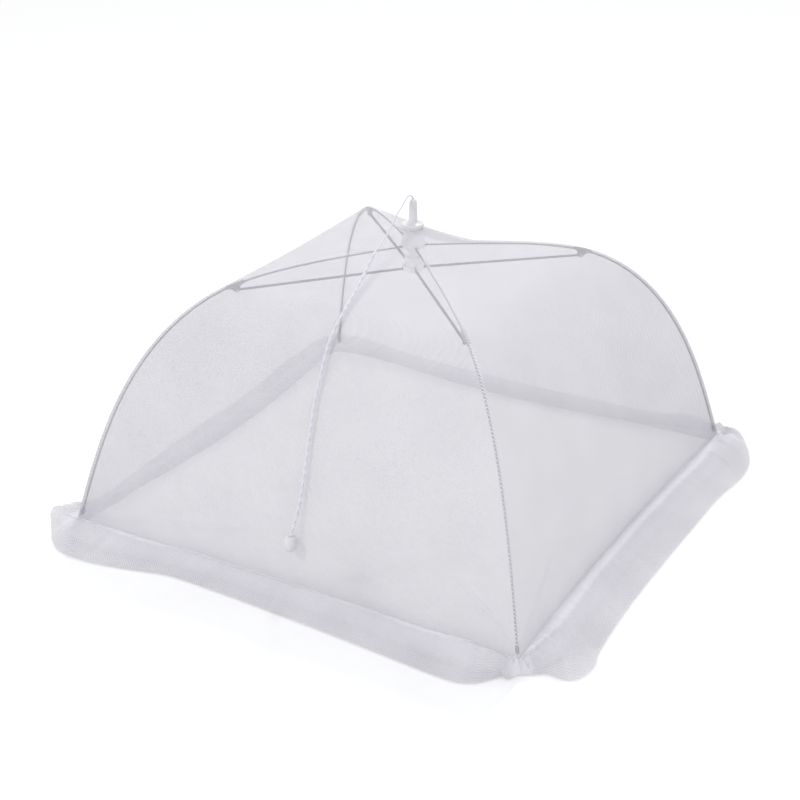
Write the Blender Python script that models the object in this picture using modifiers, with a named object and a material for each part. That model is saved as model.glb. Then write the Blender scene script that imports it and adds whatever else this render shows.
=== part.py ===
"""A square food cover of fine netting that opens and shuts like an umbrella.

Four spring wire ribs hang from a small plastic crown, one along each diagonal. Four
stretchers join them to a runner under the crown, which a pull cord through the crown
draws up to open the cover. The netting is sewn from four panels and ends in a padded
hem that lies on the table. Lengths are in metres, +Z is up and the origin is on the
table under the crown. The front, where the pull cord hangs, faces -Y.
"""

from math import asin, atan2, cos, degrees, hypot, pi, radians, sin, sqrt

import bmesh
import bpy
import numpy as np
from mathutils import Matrix, Vector

# Clearances that every piece shares
TOUCH_GAP = 0.0003
PIN_CLEARANCE = 0.00012
CUT_OVERRUN = 0.001
WELD_SHARE = 0.01

# Corners and the sides between them, in turn about the centre
SIDES = ("front", "right", "back", "left")
CORNERS = ("front_right", "back_right", "back_left", "front_left")
FIRST_RIB_BEARING = -pi / 4
QUARTER_TURN = pi / 2

# Facets of the round pieces
TURNED_STEPS = 24
SMALL_TURNED_STEPS = 12
PIN_SEGMENTS = 12
EYE_SEGMENTS = 20

# Ribs, in their own upright plane: a flat inner length and a bent outer one
RIB_RADIUS = 0.00075
RIB_PIVOT_REACH = 0.0072
RIB_TIP_HEIGHT = 0.0165
RIB_INNER_LENGTH = 0.1402
RIB_OUTER_LENGTH = 0.240
RIB_INNER_SLOPES = (radians(4.5), radians(17.0))
RIB_OUTER_SLOPES = (radians(18.0), radians(72.0))
RIB_INNER_BEND_POWER = 3
RIB_OUTER_BEND_POWER = 2
RIB_POINTS = 27
BEND_STEPS = 400
RIB_FLAT_LENGTH = 0.0052
FOLD = radians(46.0)

# Flattened eyes at the ends of ribs and stretchers, and their pins
EYE_RADIUS = 0.0012
EYE_THICKNESS = 0.0010
EYE_SLOT_WIDTH = 0.0014
EYE_BAR_SHARE = 0.9
PIN_RADIUS = 0.0005
PIN_LENGTH = 0.0030
PIN_POCKET_LENGTH = 0.0036

# Bracket crimped on a rib, which carries the stretcher's rivet
BRACKET_LENGTH = 0.0154
BRACKET_SHEET = 0.0004
BRACKET_SKIRT = 0.0006
BRACKET_END_RISE = 0.0005
EAR_LENGTH = 0.0092
EAR_RADIUS = 0.0019
RIVET_DROP = 0.0046
RIVET_HEAD_RADIUS = 0.00095
RIVET_HEAD_LENGTH = 0.0005

# Stretchers, folded from sheet as a channel that is open below
RUNNER_PIVOT_REACH = 0.0074
RUNNER_PIVOT_DROP = 0.0192
STRETCHER_WIDTH = 0.0024
STRETCHER_HEIGHT = 0.0021
STRETCHER_SHEET = 0.0004
STRETCHER_EYE_LENGTH = 0.0060
STRETCHER_OVERLAP = 0.0030

# Cap over a rib's tip
TIP_RADIUS = 0.0015
TIP_LENGTH = 0.0065
TIP_SOCKET_DEPTH = 0.0048
TIP_ROUND_POINTS = 6

# Crown, with heights above the ribs' pivots
CROWN_TOP = 0.0159
CROWN_NECK_RADIUS = 0.0070
CROWN_NECK_FOOT = 0.0110
CROWN_SKIRT_RADIUS = 0.0100
CROWN_SKIRT_TOP = 0.0038
CROWN_SKIRT_FOOT = 0.0016
CROWN_LIP_RADIUS = 0.0088
CROWN_LIP_HEIGHT = -0.0006
CROWN_FOOT_RADIUS = 0.0076
CROWN_FOOT = -0.0017
CROWN_STEM_RADIUS = 0.0040
CROWN_STEM_FOOT = -0.0152
CROWN_SLOT_TOP = 0.0016
CORD_BORE_RADIUS = 0.0011

# Cap pushed into the crown, which clamps the netting and guides the cord
CAP_FLANGE_RADIUS = 0.00875
CAP_FLANGE_HEIGHT = 0.0030
CAP_EDGE_ROUND = 0.0008
CAP_POST_HEIGHT = 0.0200
CAP_POST_FOOT_RADIUS = 0.0031
CAP_POST_TOP_RADIUS = 0.0025
CAP_POST_ROUND = 0.0013
CAP_SPIGOT_RADIUS = 0.0032
CAP_SPIGOT_LENGTH = 0.0055
CAP_ROUND_POINTS = 4

# Runner, with heights above the stretchers' pivots
RUNNER_TOP = 0.0100
RUNNER_BODY_RADIUS = 0.0068
RUNNER_CHAMFER = 0.0006
RUNNER_RIM_RADIUS = 0.0086
RUNNER_RIM_TOP = 0.0028
RUNNER_FOOT = -0.0018
RUNNER_FLOOR_TOP = 0.0033
RUNNER_SLOT_REACH = 0.0050
RUNNER_BORE_CLEARANCE = 0.0003
PIN_WAY_INNER_SLOPE = radians(60.0)
PIN_WAY_OUTER_SLOPE = radians(86.0)

# Cord, its knot under the runner and its bead
CORD_RADIUS = 0.0007
KNOT_RADIUS = 0.0021
KNOT_HEIGHT = 0.0034
KNOT_RINGS = 9
BEAD_RADIUS = 0.0053
BEAD_LENGTH = 0.0120
BEAD_FLAT_RADIUS = 0.0026
BEAD_GRIP_DEPTH = 0.0030
BEAD_RINGS = 11
CORD_SPACING = 0.0042
CORD_CURVE_STEPS = 24

# Netting: a closed layer over the ribs, in two halves for each side of the square
NET_THICKNESS = 0.0010
NET_LIFT = 0.0029
NET_APEX_REACH = 0.0077
NET_MEETS_RIB_REACH = 0.045
NET_TAUT_LEVELS = 8
NET_BENT_LEVELS = 16
NET_ACROSS = 6
NET_LIFTED_STEPS = 96
SEAM_BELOW_TIP = 0.0040
SEAM_SAG = 0.0110
SEAM_DROP = 0.0085
SAG_POWER = 1.5

# Padded hem round the foot of the netting, flat on the table, with two lobes at each corner
HEM_BEYOND_SIDE = 0.0380
HEM_BEYOND_TIP = 0.0230
HEM_EDGE_HEIGHT = 0.0022
HEM_PUFF = 0.0052
HEM_CORNER_PUFF = 0.0125
HEM_CORNER_PUFF_POWER = 4
HEM_CREST_POWERS = (1.6, 0.6)
HEM_LOBE = 0.0065
HEM_WAVE_HEIGHT = 0.0010
HEM_WAVES = 5
HEM_STATIONS = 19
HEM_ACROSS = 7
HEM_CORNER_SHARE = 0.72


def bearing_of(corner):
    """Bearing of a corner's rib."""
    return FIRST_RIB_BEARING + CORNERS.index(corner) * QUARTER_TURN


def bend(length, slopes, power, falling):
    """Reaches and drops along a bent length of wire, whose slope follows a power law."""
    share = (np.arange(BEND_STEPS) + 0.5) / BEND_STEPS
    way = 1 - (1 - share) ** power if falling else share**power
    slope = slopes[0] + (slopes[1] - slopes[0]) * way
    step = length / BEND_STEPS
    reach = np.concatenate([[0], np.cumsum(step * np.cos(slope))])
    drop = np.concatenate([[0], np.cumsum(step * np.sin(slope))])
    return reach, drop, np.concatenate([slope[:1], slope])


inner_reach, inner_drop, inner_slope = bend(RIB_INNER_LENGTH, RIB_INNER_SLOPES, RIB_INNER_BEND_POWER, False)
outer_reach, outer_drop, outer_slope = bend(RIB_OUTER_LENGTH, RIB_OUTER_SLOPES, RIB_OUTER_BEND_POWER, True)
rib_pivot_height = RIB_TIP_HEIGHT + inner_drop[-1] + outer_drop[-1]
rib_length = RIB_INNER_LENGTH + RIB_OUTER_LENGTH

# Every rib's centre line from its pivot: length gone, reach, height and slope below level
rib_gone = np.concatenate([np.linspace(0, RIB_INNER_LENGTH, BEND_STEPS + 1)[:-1],
                           RIB_INNER_LENGTH + np.linspace(0, RIB_OUTER_LENGTH, BEND_STEPS + 1)])
rib_reach = RIB_PIVOT_REACH + np.concatenate([inner_reach[:-1], inner_reach[-1] + outer_reach])
rib_height = rib_pivot_height - np.concatenate([inner_drop[:-1], inner_drop[-1] + outer_drop])
rib_slope = np.concatenate([inner_slope[:-1], outer_slope])


def along_rib(gone):
    """Reach, height and slope of the rib's centre line, so far from its pivot."""
    return [float(np.interp(gone, rib_gone, values)) for values in (rib_reach, rib_height, rib_slope)]


joint_reach, joint_height, _ = along_rib(RIB_INNER_LENGTH)
bracket_slope = (RIB_INNER_SLOPES[1] + RIB_OUTER_SLOPES[0]) / 2
rivet_reach = joint_reach - RIVET_DROP * sin(bracket_slope)
rivet_height = joint_height - RIVET_DROP * cos(bracket_slope)
runner_pivot_height = rib_pivot_height - RUNNER_PIVOT_DROP
stretcher_length = hypot(rivet_reach - RUNNER_PIVOT_REACH, rivet_height - runner_pivot_height)
stretcher_slope = atan2(rivet_height - runner_pivot_height, rivet_reach - RUNNER_PIVOT_REACH)

cap_flange_foot = rib_pivot_height + CROWN_TOP + TOUCH_GAP
cap_top = cap_flange_foot + CAP_FLANGE_HEIGHT + CAP_POST_HEIGHT
net_apex_height = cap_flange_foot - NET_THICKNESS
hem_half_width = rib_reach[-1] / sqrt(2) + HEM_BEYOND_SIDE
hem_corner_radius = (HEM_BEYOND_SIDE * sqrt(2) - HEM_BEYOND_TIP) / (sqrt(2) - 1)


def folded(turn):
    """How far the runner drops and a stretcher turns on its rib when the ribs fold by turn."""
    arm = hypot(rivet_reach - RIB_PIVOT_REACH, rib_pivot_height - rivet_height)
    dip = atan2(rib_pivot_height - rivet_height, rivet_reach - RIB_PIVOT_REACH) + turn
    reach = RIB_PIVOT_REACH + arm * cos(dip)
    height = rib_pivot_height - arm * sin(dip)
    slope = atan2(sqrt(stretcher_length**2 - (reach - RUNNER_PIVOT_REACH) ** 2), reach - RUNNER_PIVOT_REACH)
    drop = runner_pivot_height - (height - stretcher_length * sin(slope))
    return drop, turn + slope - stretcher_slope


for old in list(bpy.data.objects):
    bpy.data.objects.remove(old, do_unlink=True)
cover = bpy.data.collections.new("mesh_food_cover_umbrella")
cutters = bpy.data.collections.new("cutters")
for collection in (cover, cutters):
    bpy.context.scene.collection.children.link(collection)


def look(name, colour, roughness, metallic=0.0):
    """A plain surface of one colour."""
    material = bpy.data.materials.new(name)
    material.use_nodes = True
    shader = material.node_tree.nodes["Principled BSDF"]
    shader.inputs["Base Color"].default_value = (*colour, 1)
    shader.inputs["Roughness"].default_value = roughness
    shader.inputs["Metallic"].default_value = metallic
    return material


milky_plastic = look("milky_plastic", (0.72, 0.71, 0.73), 0.35)
black_wire = look("black_wire", (0.02, 0.02, 0.022), 0.35, 0.6)
grey_steel = look("grey_steel", (0.10, 0.10, 0.11), 0.35, 0.9)
pin_steel = look("pin_steel", (0.45, 0.45, 0.47), 0.3, 1.0)
white_net = look("white_net", (0.80, 0.79, 0.84), 0.8)
white_hem = look("white_hem", (0.84, 0.83, 0.88), 0.9)
white_cord = look("white_cord", (0.78, 0.76, 0.82), 0.8)
white_bead = look("white_bead", (0.88, 0.88, 0.89), 0.25)


def add(name, data, material, parent=None, place=(0, 0, 0), turn=0.0):
    """A named piece of the cover, where turn is about its parent's Y axis."""
    piece = bpy.data.objects.new(name, data)
    piece.location = place
    piece.rotation_euler = (0, turn, 0)
    piece.parent = parent
    if material and not data.materials:
        data.materials.append(material)
    cover.objects.link(piece)
    return piece


def axis_empty(name, place, bearing=0.0, parent=None):
    """An empty on a joint's axis, with X outwards along the bearing."""
    empty = bpy.data.objects.new(name, None)
    empty.location = place
    empty.rotation_euler = (0, 0, bearing)
    empty.parent = parent
    cover.objects.link(empty)
    return empty


def as_cutter(name, data, place=(0, 0, 0), bearing=0.0):
    """A hidden object that another is cut with."""
    cutter = bpy.data.objects.new(name, data)
    cutter.location = place
    cutter.rotation_euler = (0, 0, bearing)
    cutter.hide_render = True
    cutter.display_type = "WIRE"
    cutters.objects.link(cutter)
    return cutter


def smooth(data):
    data.shade_smooth()
    data.set_sharp_from_angle(angle=radians(35.0))
    return data


def evaluated_mesh(obj, name):
    """The mesh that an object's curve and modifiers make, with its caps welded, and the object removed."""
    graph = bpy.context.evaluated_depsgraph_get()
    data = bpy.data.meshes.new_from_object(obj.evaluated_get(graph))
    data.name = name
    bm = bmesh.new()
    bm.from_mesh(data)
    bmesh.ops.remove_doubles(bm, verts=bm.verts, dist=WELD_SHARE * TOUCH_GAP)
    bmesh.ops.recalc_face_normals(bm, faces=bm.faces)
    bm.to_mesh(data)
    bm.free()
    bpy.data.objects.remove(obj, do_unlink=True)
    return smooth(data)


def plate(name, outline, thickness):
    """A flat outline in the XZ plane, extruded to both sides of it."""
    curve = bpy.data.curves.new(name, "CURVE")
    curve.dimensions = "2D"
    curve.fill_mode = "BOTH"
    curve.extrude = thickness / 2
    spline = curve.splines.new("POLY")
    spline.points.add(len(outline) - 1)
    for point, (x, z) in zip(spline.points, outline):
        point.co = (x, z, 0, 1)
    spline.use_cyclic_u = True
    obj = bpy.data.objects.new(name, curve)
    cutters.objects.link(obj)
    data = evaluated_mesh(obj, name)
    data.transform(Matrix.Rotation(pi / 2, 4, "X"))
    return data


def cylinder(name, radius, length, segments=PIN_SEGMENTS, axis="Y", centre=(0, 0, 0)):
    turn = Matrix.Rotation(pi / 2, 4, "X") if axis == "Y" else Matrix.Identity(4)
    bm = bmesh.new()
    bmesh.ops.create_cone(bm, cap_ends=True, segments=segments, radius1=radius, radius2=radius,
                          depth=length, matrix=Matrix.Translation(centre) @ turn)
    data = bpy.data.meshes.new(name)
    bm.to_mesh(data)
    bm.free()
    return smooth(data)


def box(name, low, high):
    bm = bmesh.new()
    bmesh.ops.create_cube(bm, size=1)
    sides = [b - a for a, b in zip(low, high)]
    middle = [(a + b) / 2 for a, b in zip(low, high)]
    bmesh.ops.scale(bm, vec=sides, verts=bm.verts)
    bmesh.ops.translate(bm, vec=middle, verts=bm.verts)
    data = bpy.data.meshes.new(name)
    bm.to_mesh(data)
    bm.free()
    return data


def turned(name, profile, closed_loop, steps=TURNED_STEPS):
    """A profile of (radius, height) pairs, down its outer side, with a Screw about Z."""
    bm = bmesh.new()
    corners = [bm.verts.new((radius, 0, height)) for radius, height in profile]
    for first, second in zip(corners, corners[1:] + corners[:1] if closed_loop else corners[1:]):
        bm.edges.new((first, second))
    data = bpy.data.meshes.new(name)
    bm.to_mesh(data)
    bm.free()
    obj = bpy.data.objects.new(name, data)
    screw = obj.modifiers.new("Screw", "SCREW")
    screw.steps = steps
    screw.render_steps = steps
    screw.use_merge_vertices = True
    screw.merge_threshold = WELD_SHARE * TOUCH_GAP
    cutters.objects.link(obj)
    return evaluated_mesh(obj, name)


def wire(name, points, radius):
    """A round wire or cord through points, with filled ends."""
    curve = bpy.data.curves.new(name, "CURVE")
    curve.dimensions = "3D"
    curve.bevel_depth = radius
    curve.bevel_resolution = 2
    curve.use_fill_caps = True
    spline = curve.splines.new("POLY")
    spline.points.add(len(points) - 1)
    for point, place in zip(spline.points, points):
        point.co = (*place, 1)
    return curve


def wire_mesh(name, points, radius):
    obj = bpy.data.objects.new(name, wire(name, points, radius))
    cutters.objects.link(obj)
    return evaluated_mesh(obj, name)


def shaped(name, start, steps):
    """The mesh left when each (operation, mesh) has been joined to, or cut from, the first."""
    obj = bpy.data.objects.new(name, start)
    cutters.objects.link(obj)
    tools = [as_cutter(f"{name}_{number}", data) for number, (_, data) in enumerate(steps)]
    for (operation, _), tool in zip(steps, tools):
        modifier = obj.modifiers.new(tool.name, "BOOLEAN")
        modifier.operation = operation
        modifier.object = tool
    bpy.context.view_layer.update()
    data = evaluated_mesh(obj, name)
    for tool in tools:
        bpy.data.objects.remove(tool, do_unlink=True)
    return data


def cut(piece, cutter):
    modifier = piece.modifiers.new(cutter.name, "BOOLEAN")
    modifier.operation = "DIFFERENCE"
    modifier.object = cutter


def arc(centre, radius, start, end, points):
    """Points on an arc in the XZ plane, with angles from +X towards +Z."""
    turns = [start + (end - start) * step / (points - 1) for step in range(points)]
    return [(centre[0] + radius * cos(turn), centre[1] + radius * sin(turn)) for turn in turns]


def eye_outline(length, half_height):
    """A round eye about the origin with a flat bar of this length along +X."""
    shoulder = asin(half_height / EYE_RADIUS)
    return [(length, -half_height), (length, half_height)] + arc((0, 0), EYE_RADIUS, shoulder,
                                                                 2 * pi - shoulder, EYE_SEGMENTS)


def eye_hole(name, place=(0, 0, 0)):
    return cylinder(name, PIN_RADIUS + PIN_CLEARANCE, EYE_THICKNESS + 2 * CUT_OVERRUN, centre=place)


def rib_mesh():
    """A spring wire with its inner end hammered flat round the crown's pin."""
    start = RIB_FLAT_LENGTH - 2 * EYE_RADIUS
    gone = start + (rib_length - start) * np.linspace(0, 1, RIB_POINTS)
    line = [along_rib(length) for length in gone]
    points = [(reach - RIB_PIVOT_REACH, 0, height - rib_pivot_height) for reach, height, _ in line]
    flat = plate("rib_flat", eye_outline(RIB_FLAT_LENGTH, RIB_RADIUS), EYE_THICKNESS)
    flat.transform(Matrix.Rotation(RIB_INNER_SLOPES[0], 4, "Y"))
    return shaped("rib", wire_mesh("rib_wire", points, RIB_RADIUS),
                  [("UNION", flat), ("DIFFERENCE", eye_hole("rib_eye_hole"))])


bracket_inner_width = 2 * (RIB_RADIUS + TOUCH_GAP)
bracket_width = bracket_inner_width + 2 * BRACKET_SHEET
bracket_roof = RIB_RADIUS + TOUCH_GAP


def bracket_mesh():
    """A strip folded over the rib, with two ears down to the rivet, about the rib's centre line."""
    half = BRACKET_LENGTH / 2
    skirt = -RIB_RADIUS - BRACKET_SKIRT
    top = bracket_roof + BRACKET_SHEET
    outline = [(-half, top), (-half, skirt + BRACKET_END_RISE), (-EAR_LENGTH / 2, skirt)]
    outline += arc((0, -RIVET_DROP), EAR_RADIUS, pi, 2 * pi, EYE_SEGMENTS // 2)
    outline += [(EAR_LENGTH / 2, skirt), (half, skirt + BRACKET_END_RISE), (half, top)]
    inside = box("bracket_inside",
                 (-half - CUT_OVERRUN, -bracket_inner_width / 2, -RIVET_DROP - EAR_RADIUS - CUT_OVERRUN),
                 (half + CUT_OVERRUN, bracket_inner_width / 2, bracket_roof))
    hole = cylinder("bracket_hole", PIN_RADIUS + PIN_CLEARANCE, bracket_width + 2 * CUT_OVERRUN,
                    centre=(0, 0, -RIVET_DROP))
    return shaped("rib_bracket", plate("bracket_blank", outline, bracket_width),
                  [("DIFFERENCE", inside), ("DIFFERENCE", hole)])


def rivet_mesh():
    """A shank with a flat head beyond each ear."""
    shank = bracket_width + 2 * TOUCH_GAP + RIVET_HEAD_LENGTH
    heads = [cylinder(f"rivet_head_{side}", RIVET_HEAD_RADIUS, RIVET_HEAD_LENGTH,
                      centre=(0, side * (bracket_width / 2 + TOUCH_GAP + RIVET_HEAD_LENGTH / 2), 0))
             for side in (-1, 1)]
    return shaped("bracket_rivet", cylinder("rivet_shank", PIN_RADIUS, shank),
                  [("UNION", head) for head in heads])


def stretcher_mesh():
    """A channel from the rivet, at the origin, to the runner's pin, with a flat eye at each end."""
    high = STRETCHER_HEIGHT / 2
    wide = STRETCHER_WIDTH / 2
    start = STRETCHER_EYE_LENGTH - STRETCHER_OVERLAP / 2
    channel = box("channel", (start, -wide, -high), (stretcher_length - start, wide, high))
    groove = box("groove", (STRETCHER_EYE_LENGTH, -wide + STRETCHER_SHEET, -high - CUT_OVERRUN),
                 (stretcher_length - STRETCHER_EYE_LENGTH, wide - STRETCHER_SHEET, high - STRETCHER_SHEET))
    eye = eye_outline(STRETCHER_EYE_LENGTH - STRETCHER_SHEET, EYE_BAR_SHARE * high)
    near = plate("near_eye", eye, EYE_THICKNESS)
    far = plate("far_eye", eye, EYE_THICKNESS)
    far.transform(Matrix.Translation((stretcher_length, 0, 0)) @ Matrix.Rotation(pi, 4, "Y"))
    steps = [("DIFFERENCE", groove), ("UNION", near), ("UNION", far),
             ("DIFFERENCE", eye_hole("near_hole")),
             ("DIFFERENCE", eye_hole("far_hole", (stretcher_length, 0, 0)))]
    return shaped("stretcher", channel, steps)


def tip_mesh():
    """A rounded cap with a blind socket, its mouth at the top and the wire's end at the origin."""
    socket = RIB_RADIUS + TOUCH_GAP
    top = TIP_SOCKET_DEPTH
    foot = TIP_SOCKET_DEPTH - TIP_LENGTH
    profile = [(0, -TOUCH_GAP), (socket, -TOUCH_GAP), (socket, top), (TIP_RADIUS, top)]
    profile += arc((0, foot + TIP_RADIUS), TIP_RADIUS, 0, -pi / 2, TIP_ROUND_POINTS)[:-1] + [(0, foot)]
    return turned("rib_tip", profile, False, steps=SMALL_TURNED_STEPS)


def crown_mesh():
    """The bell that the ribs hang in, its stem and the bores for the cap and the cord."""
    base = rib_pivot_height
    top = base + CROWN_TOP
    outline = [(CROWN_NECK_RADIUS, top), (CROWN_NECK_RADIUS, base + CROWN_NECK_FOOT)]
    outline += [(CROWN_SKIRT_RADIUS, base + CROWN_SKIRT_TOP), (CROWN_SKIRT_RADIUS, base + CROWN_SKIRT_FOOT)]
    outline += [(CROWN_LIP_RADIUS, base + CROWN_LIP_HEIGHT), (CROWN_FOOT_RADIUS, base + CROWN_FOOT)]
    outline += [(CROWN_STEM_RADIUS, base + CROWN_FOOT), (CROWN_STEM_RADIUS, base + CROWN_STEM_FOOT)]
    socket = CAP_SPIGOT_RADIUS + TOUCH_GAP
    floor = top - CAP_SPIGOT_LENGTH - TOUCH_GAP
    outline += [(CORD_BORE_RADIUS, base + CROWN_STEM_FOOT), (CORD_BORE_RADIUS, floor)]
    outline += [(socket, floor), (socket, top)]
    return turned("crown", outline, True)


def cap_mesh():
    """A flange on a spigot, with a tapered post that the cord runs up through."""
    flange_top = cap_flange_foot + CAP_FLANGE_HEIGHT
    spigot_foot = rib_pivot_height + CROWN_TOP - CAP_SPIGOT_LENGTH
    outline = [(CORD_BORE_RADIUS, cap_top)]
    post_round = (CAP_POST_TOP_RADIUS - CAP_POST_ROUND, cap_top - CAP_POST_ROUND)
    rim_reach = CAP_FLANGE_RADIUS - CAP_EDGE_ROUND
    outline += arc(post_round, CAP_POST_ROUND, pi / 2, 0, CAP_ROUND_POINTS)
    outline += [(CAP_POST_FOOT_RADIUS, flange_top)]
    outline += arc((rim_reach, flange_top - CAP_EDGE_ROUND), CAP_EDGE_ROUND, pi / 2, 0, CAP_ROUND_POINTS)
    rim_foot = cap_flange_foot + CAP_EDGE_ROUND
    outline += arc((rim_reach, rim_foot), CAP_EDGE_ROUND, 0, -pi / 2, CAP_ROUND_POINTS)
    outline += [(CAP_SPIGOT_RADIUS, cap_flange_foot), (CAP_SPIGOT_RADIUS, spigot_foot)]
    outline += [(CORD_BORE_RADIUS, spigot_foot)]
    return turned("top_cap", outline, True)


def runner_mesh():
    """A collar that takes the crown's stem, with a slotted rim for the stretchers."""
    base = runner_pivot_height
    bore = CROWN_STEM_RADIUS + RUNNER_BORE_CLEARANCE
    outline = [(RUNNER_BODY_RADIUS - RUNNER_CHAMFER, base + RUNNER_TOP)]
    outline += [(RUNNER_BODY_RADIUS, base + RUNNER_TOP - RUNNER_CHAMFER)]
    outline += [(RUNNER_BODY_RADIUS, base + RUNNER_RIM_TOP)]
    outline += [(RUNNER_RIM_RADIUS, base + RUNNER_RIM_TOP), (RUNNER_RIM_RADIUS, base + RUNNER_FOOT)]
    outline += [(CORD_BORE_RADIUS, base + RUNNER_FOOT), (CORD_BORE_RADIUS, base + RUNNER_FLOOR_TOP)]
    outline += [(bore, base + RUNNER_FLOOR_TOP), (bore, base + RUNNER_TOP)]
    return turned("runner", outline, True)


def pin_way_mesh(foot):
    """The space that a pin seats in and leaves by, about the pin's axis."""
    radius = PIN_RADIUS + PIN_CLEARANCE
    end = foot - CUT_OVERRUN
    inner = (-radius + end / np.tan(PIN_WAY_INNER_SLOPE), end)
    outer = (radius - end / np.tan(PIN_WAY_OUTER_SLOPE), end)
    seat = arc((0, 0), radius, 0, pi, EYE_SEGMENTS // 2)
    return plate("pin_way", seat + [inner, outer], PIN_POCKET_LENGTH)


def net_levels():
    """(reach and height on the rib, reach and height at mid side) of each level of the netting."""
    lifted = []
    for gone in np.linspace(0, rib_length, NET_LIFTED_STEPS + 1):
        reach, height, slope = along_rib(gone)
        lift = NET_LIFT * sqrt(1 + sin(slope) ** 2)
        lifted.append((reach + lift * sin(slope), height + lift * cos(slope), gone))
    reaches, heights, lengths = (np.array(column) for column in zip(*lifted))
    joint = [float(np.interp(RIB_INNER_LENGTH, lengths, column)) for column in (reaches, heights)]
    meeting_height = float(np.interp(NET_MEETS_RIB_REACH, reaches, heights))
    levels = []
    for share in np.linspace(0, 1, NET_TAUT_LEVELS):
        reach = NET_APEX_REACH + (joint[0] - NET_APEX_REACH) * share
        on_rib = float(np.interp(reach, reaches, heights))
        near_share = (reach - NET_APEX_REACH) / (NET_MEETS_RIB_REACH - NET_APEX_REACH)
        if near_share < 1:
            on_rib = net_apex_height + (meeting_height - net_apex_height) * near_share
        mid_reach = NET_APEX_REACH + (joint[0] / sqrt(2) - NET_APEX_REACH) * share
        levels.append((reach, on_rib, mid_reach, net_apex_height + (joint[1] - net_apex_height) * share))
    end_slope = RIB_OUTER_SLOPES[1]
    below = SEAM_BELOW_TIP / sin(end_slope)
    for share in np.linspace(0, 1, NET_BENT_LEVELS)[1:]:
        gone = RIB_INNER_LENGTH + share * (RIB_OUTER_LENGTH + below)
        past = max(0, gone - rib_length)
        reach = float(np.interp(gone, lengths, reaches)) + past * cos(end_slope)
        height = float(np.interp(gone, lengths, heights)) - past * sin(end_slope)
        ease = share**SAG_POWER
        levels.append((reach, height, reach / sqrt(2) - SEAM_SAG * ease, height - SEAM_DROP * ease))
    return levels


levels = net_levels()
seam_reach, seam_height = levels[-1][:2]


def beside_rib(along, out, side):
    """Reach and lateral place, by the rib, of a point along and out from the middle of one side."""
    return (along + out) / sqrt(2), side * (out - along) / sqrt(2)


def surface(name, rows, close_ends=False):
    """A mesh through equal rows of points."""
    bm = bmesh.new()
    grid = [[bm.verts.new(point) for point in row] for row in rows]
    for row, following in zip(grid, grid[1:]):
        around = len(row) if close_ends else len(row) - 1
        for number in range(around):
            after = (number + 1) % len(row)
            bm.faces.new((row[number], row[after], following[after], following[number]))
    if close_ends:
        bm.faces.new(grid[0])
        bm.faces.new(grid[-1])
    bmesh.ops.recalc_face_normals(bm, faces=bm.faces)
    data = bpy.data.meshes.new(name)
    bm.to_mesh(data)
    bm.free()
    return smooth(data)


def half_panel(name, side, parent):
    """Netting from mid side to the rib, in the frame of the rib's joint."""
    trim = NET_THICKNESS / 2 + TOUCH_GAP / sqrt(2)
    rows = []
    for reach, height, mid_reach, mid_height in levels:
        half = reach / sqrt(2)
        row = []
        for along in np.linspace(TOUCH_GAP / 2, half - trim, NET_ACROSS):
            middle = 1 - (along / half) ** 2
            out = half + (mid_reach - half) * middle
            beside, lateral = beside_rib(along, out, side)
            z = height + (mid_height - height) * middle
            row.append((beside - RIB_PIVOT_REACH, lateral, z - rib_pivot_height))
        rows.append(row[::side])
    piece = add(name, surface(name, rows), white_net, parent)
    layer = piece.modifiers.new("Solidify", "SOLIDIFY")
    layer.thickness = NET_THICKNESS
    layer.offset = 0
    return piece


def hem_edge(share):
    """Along and out, from mid side, of the hem's outer edge at this share of the way to the corner."""
    straight = hem_half_width - hem_corner_radius
    if share < HEM_CORNER_SHARE:
        return straight * share / HEM_CORNER_SHARE, hem_half_width
    round_share = (share - HEM_CORNER_SHARE) / (1 - HEM_CORNER_SHARE)
    radius = hem_corner_radius + HEM_LOBE * sin(pi * round_share) ** 2
    turn = round_share * pi / 4
    return straight + radius * sin(turn), straight + radius * cos(turn)


def hem_crest(way):
    """Share of the puff at this share of the way from the seam to the outer edge, fullest near the edge."""
    inner_power, outer_power = HEM_CREST_POWERS
    fullest = inner_power / (inner_power + outer_power)
    return (way / fullest) ** inner_power * ((1 - way) / (1 - fullest)) ** outer_power


def hem_ring(share, side):
    """Points round the hem's section at this share of the way from mid side to the corner."""
    half = seam_reach / sqrt(2)
    middle = 1 - share**2
    inner = (share * half, half - SEAM_SAG * middle)
    outer = hem_edge(share)
    trim = TOUCH_GAP / 2
    seam = seam_height - SEAM_DROP * middle - 2 * TOUCH_GAP
    puff = HEM_PUFF + (HEM_CORNER_PUFF - HEM_PUFF) * share**HEM_CORNER_PUFF_POWER
    wave = HEM_WAVE_HEIGHT * cos(2 * pi * HEM_WAVES * share)
    top = []
    for way in np.linspace(0, 1, HEM_ACROSS):
        top.append((way, seam + (HEM_EDGE_HEIGHT - seam) * way + (puff + wave) * hem_crest(way)))
    ring = [(0, 0)] + top + [(1, 0)]
    points = []
    for way, z in ring:
        along = max(trim, inner[0] + (outer[0] - inner[0]) * way)
        out = inner[1] + (outer[1] - inner[1]) * way
        beside, lateral = beside_rib(along, out, side)
        points.append((beside - RIB_PIVOT_REACH, lateral, z - rib_pivot_height))
    return points


def hem_mesh(name):
    """The hem's corner, from mid side round to the next mid side."""
    shares = np.linspace(0, 1, HEM_STATIONS)
    rows = [hem_ring(share, -1) for share in shares]
    rows += [hem_ring(share, 1) for share in shares[-2::-1]]
    return surface(name, rows, close_ends=True)


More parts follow.
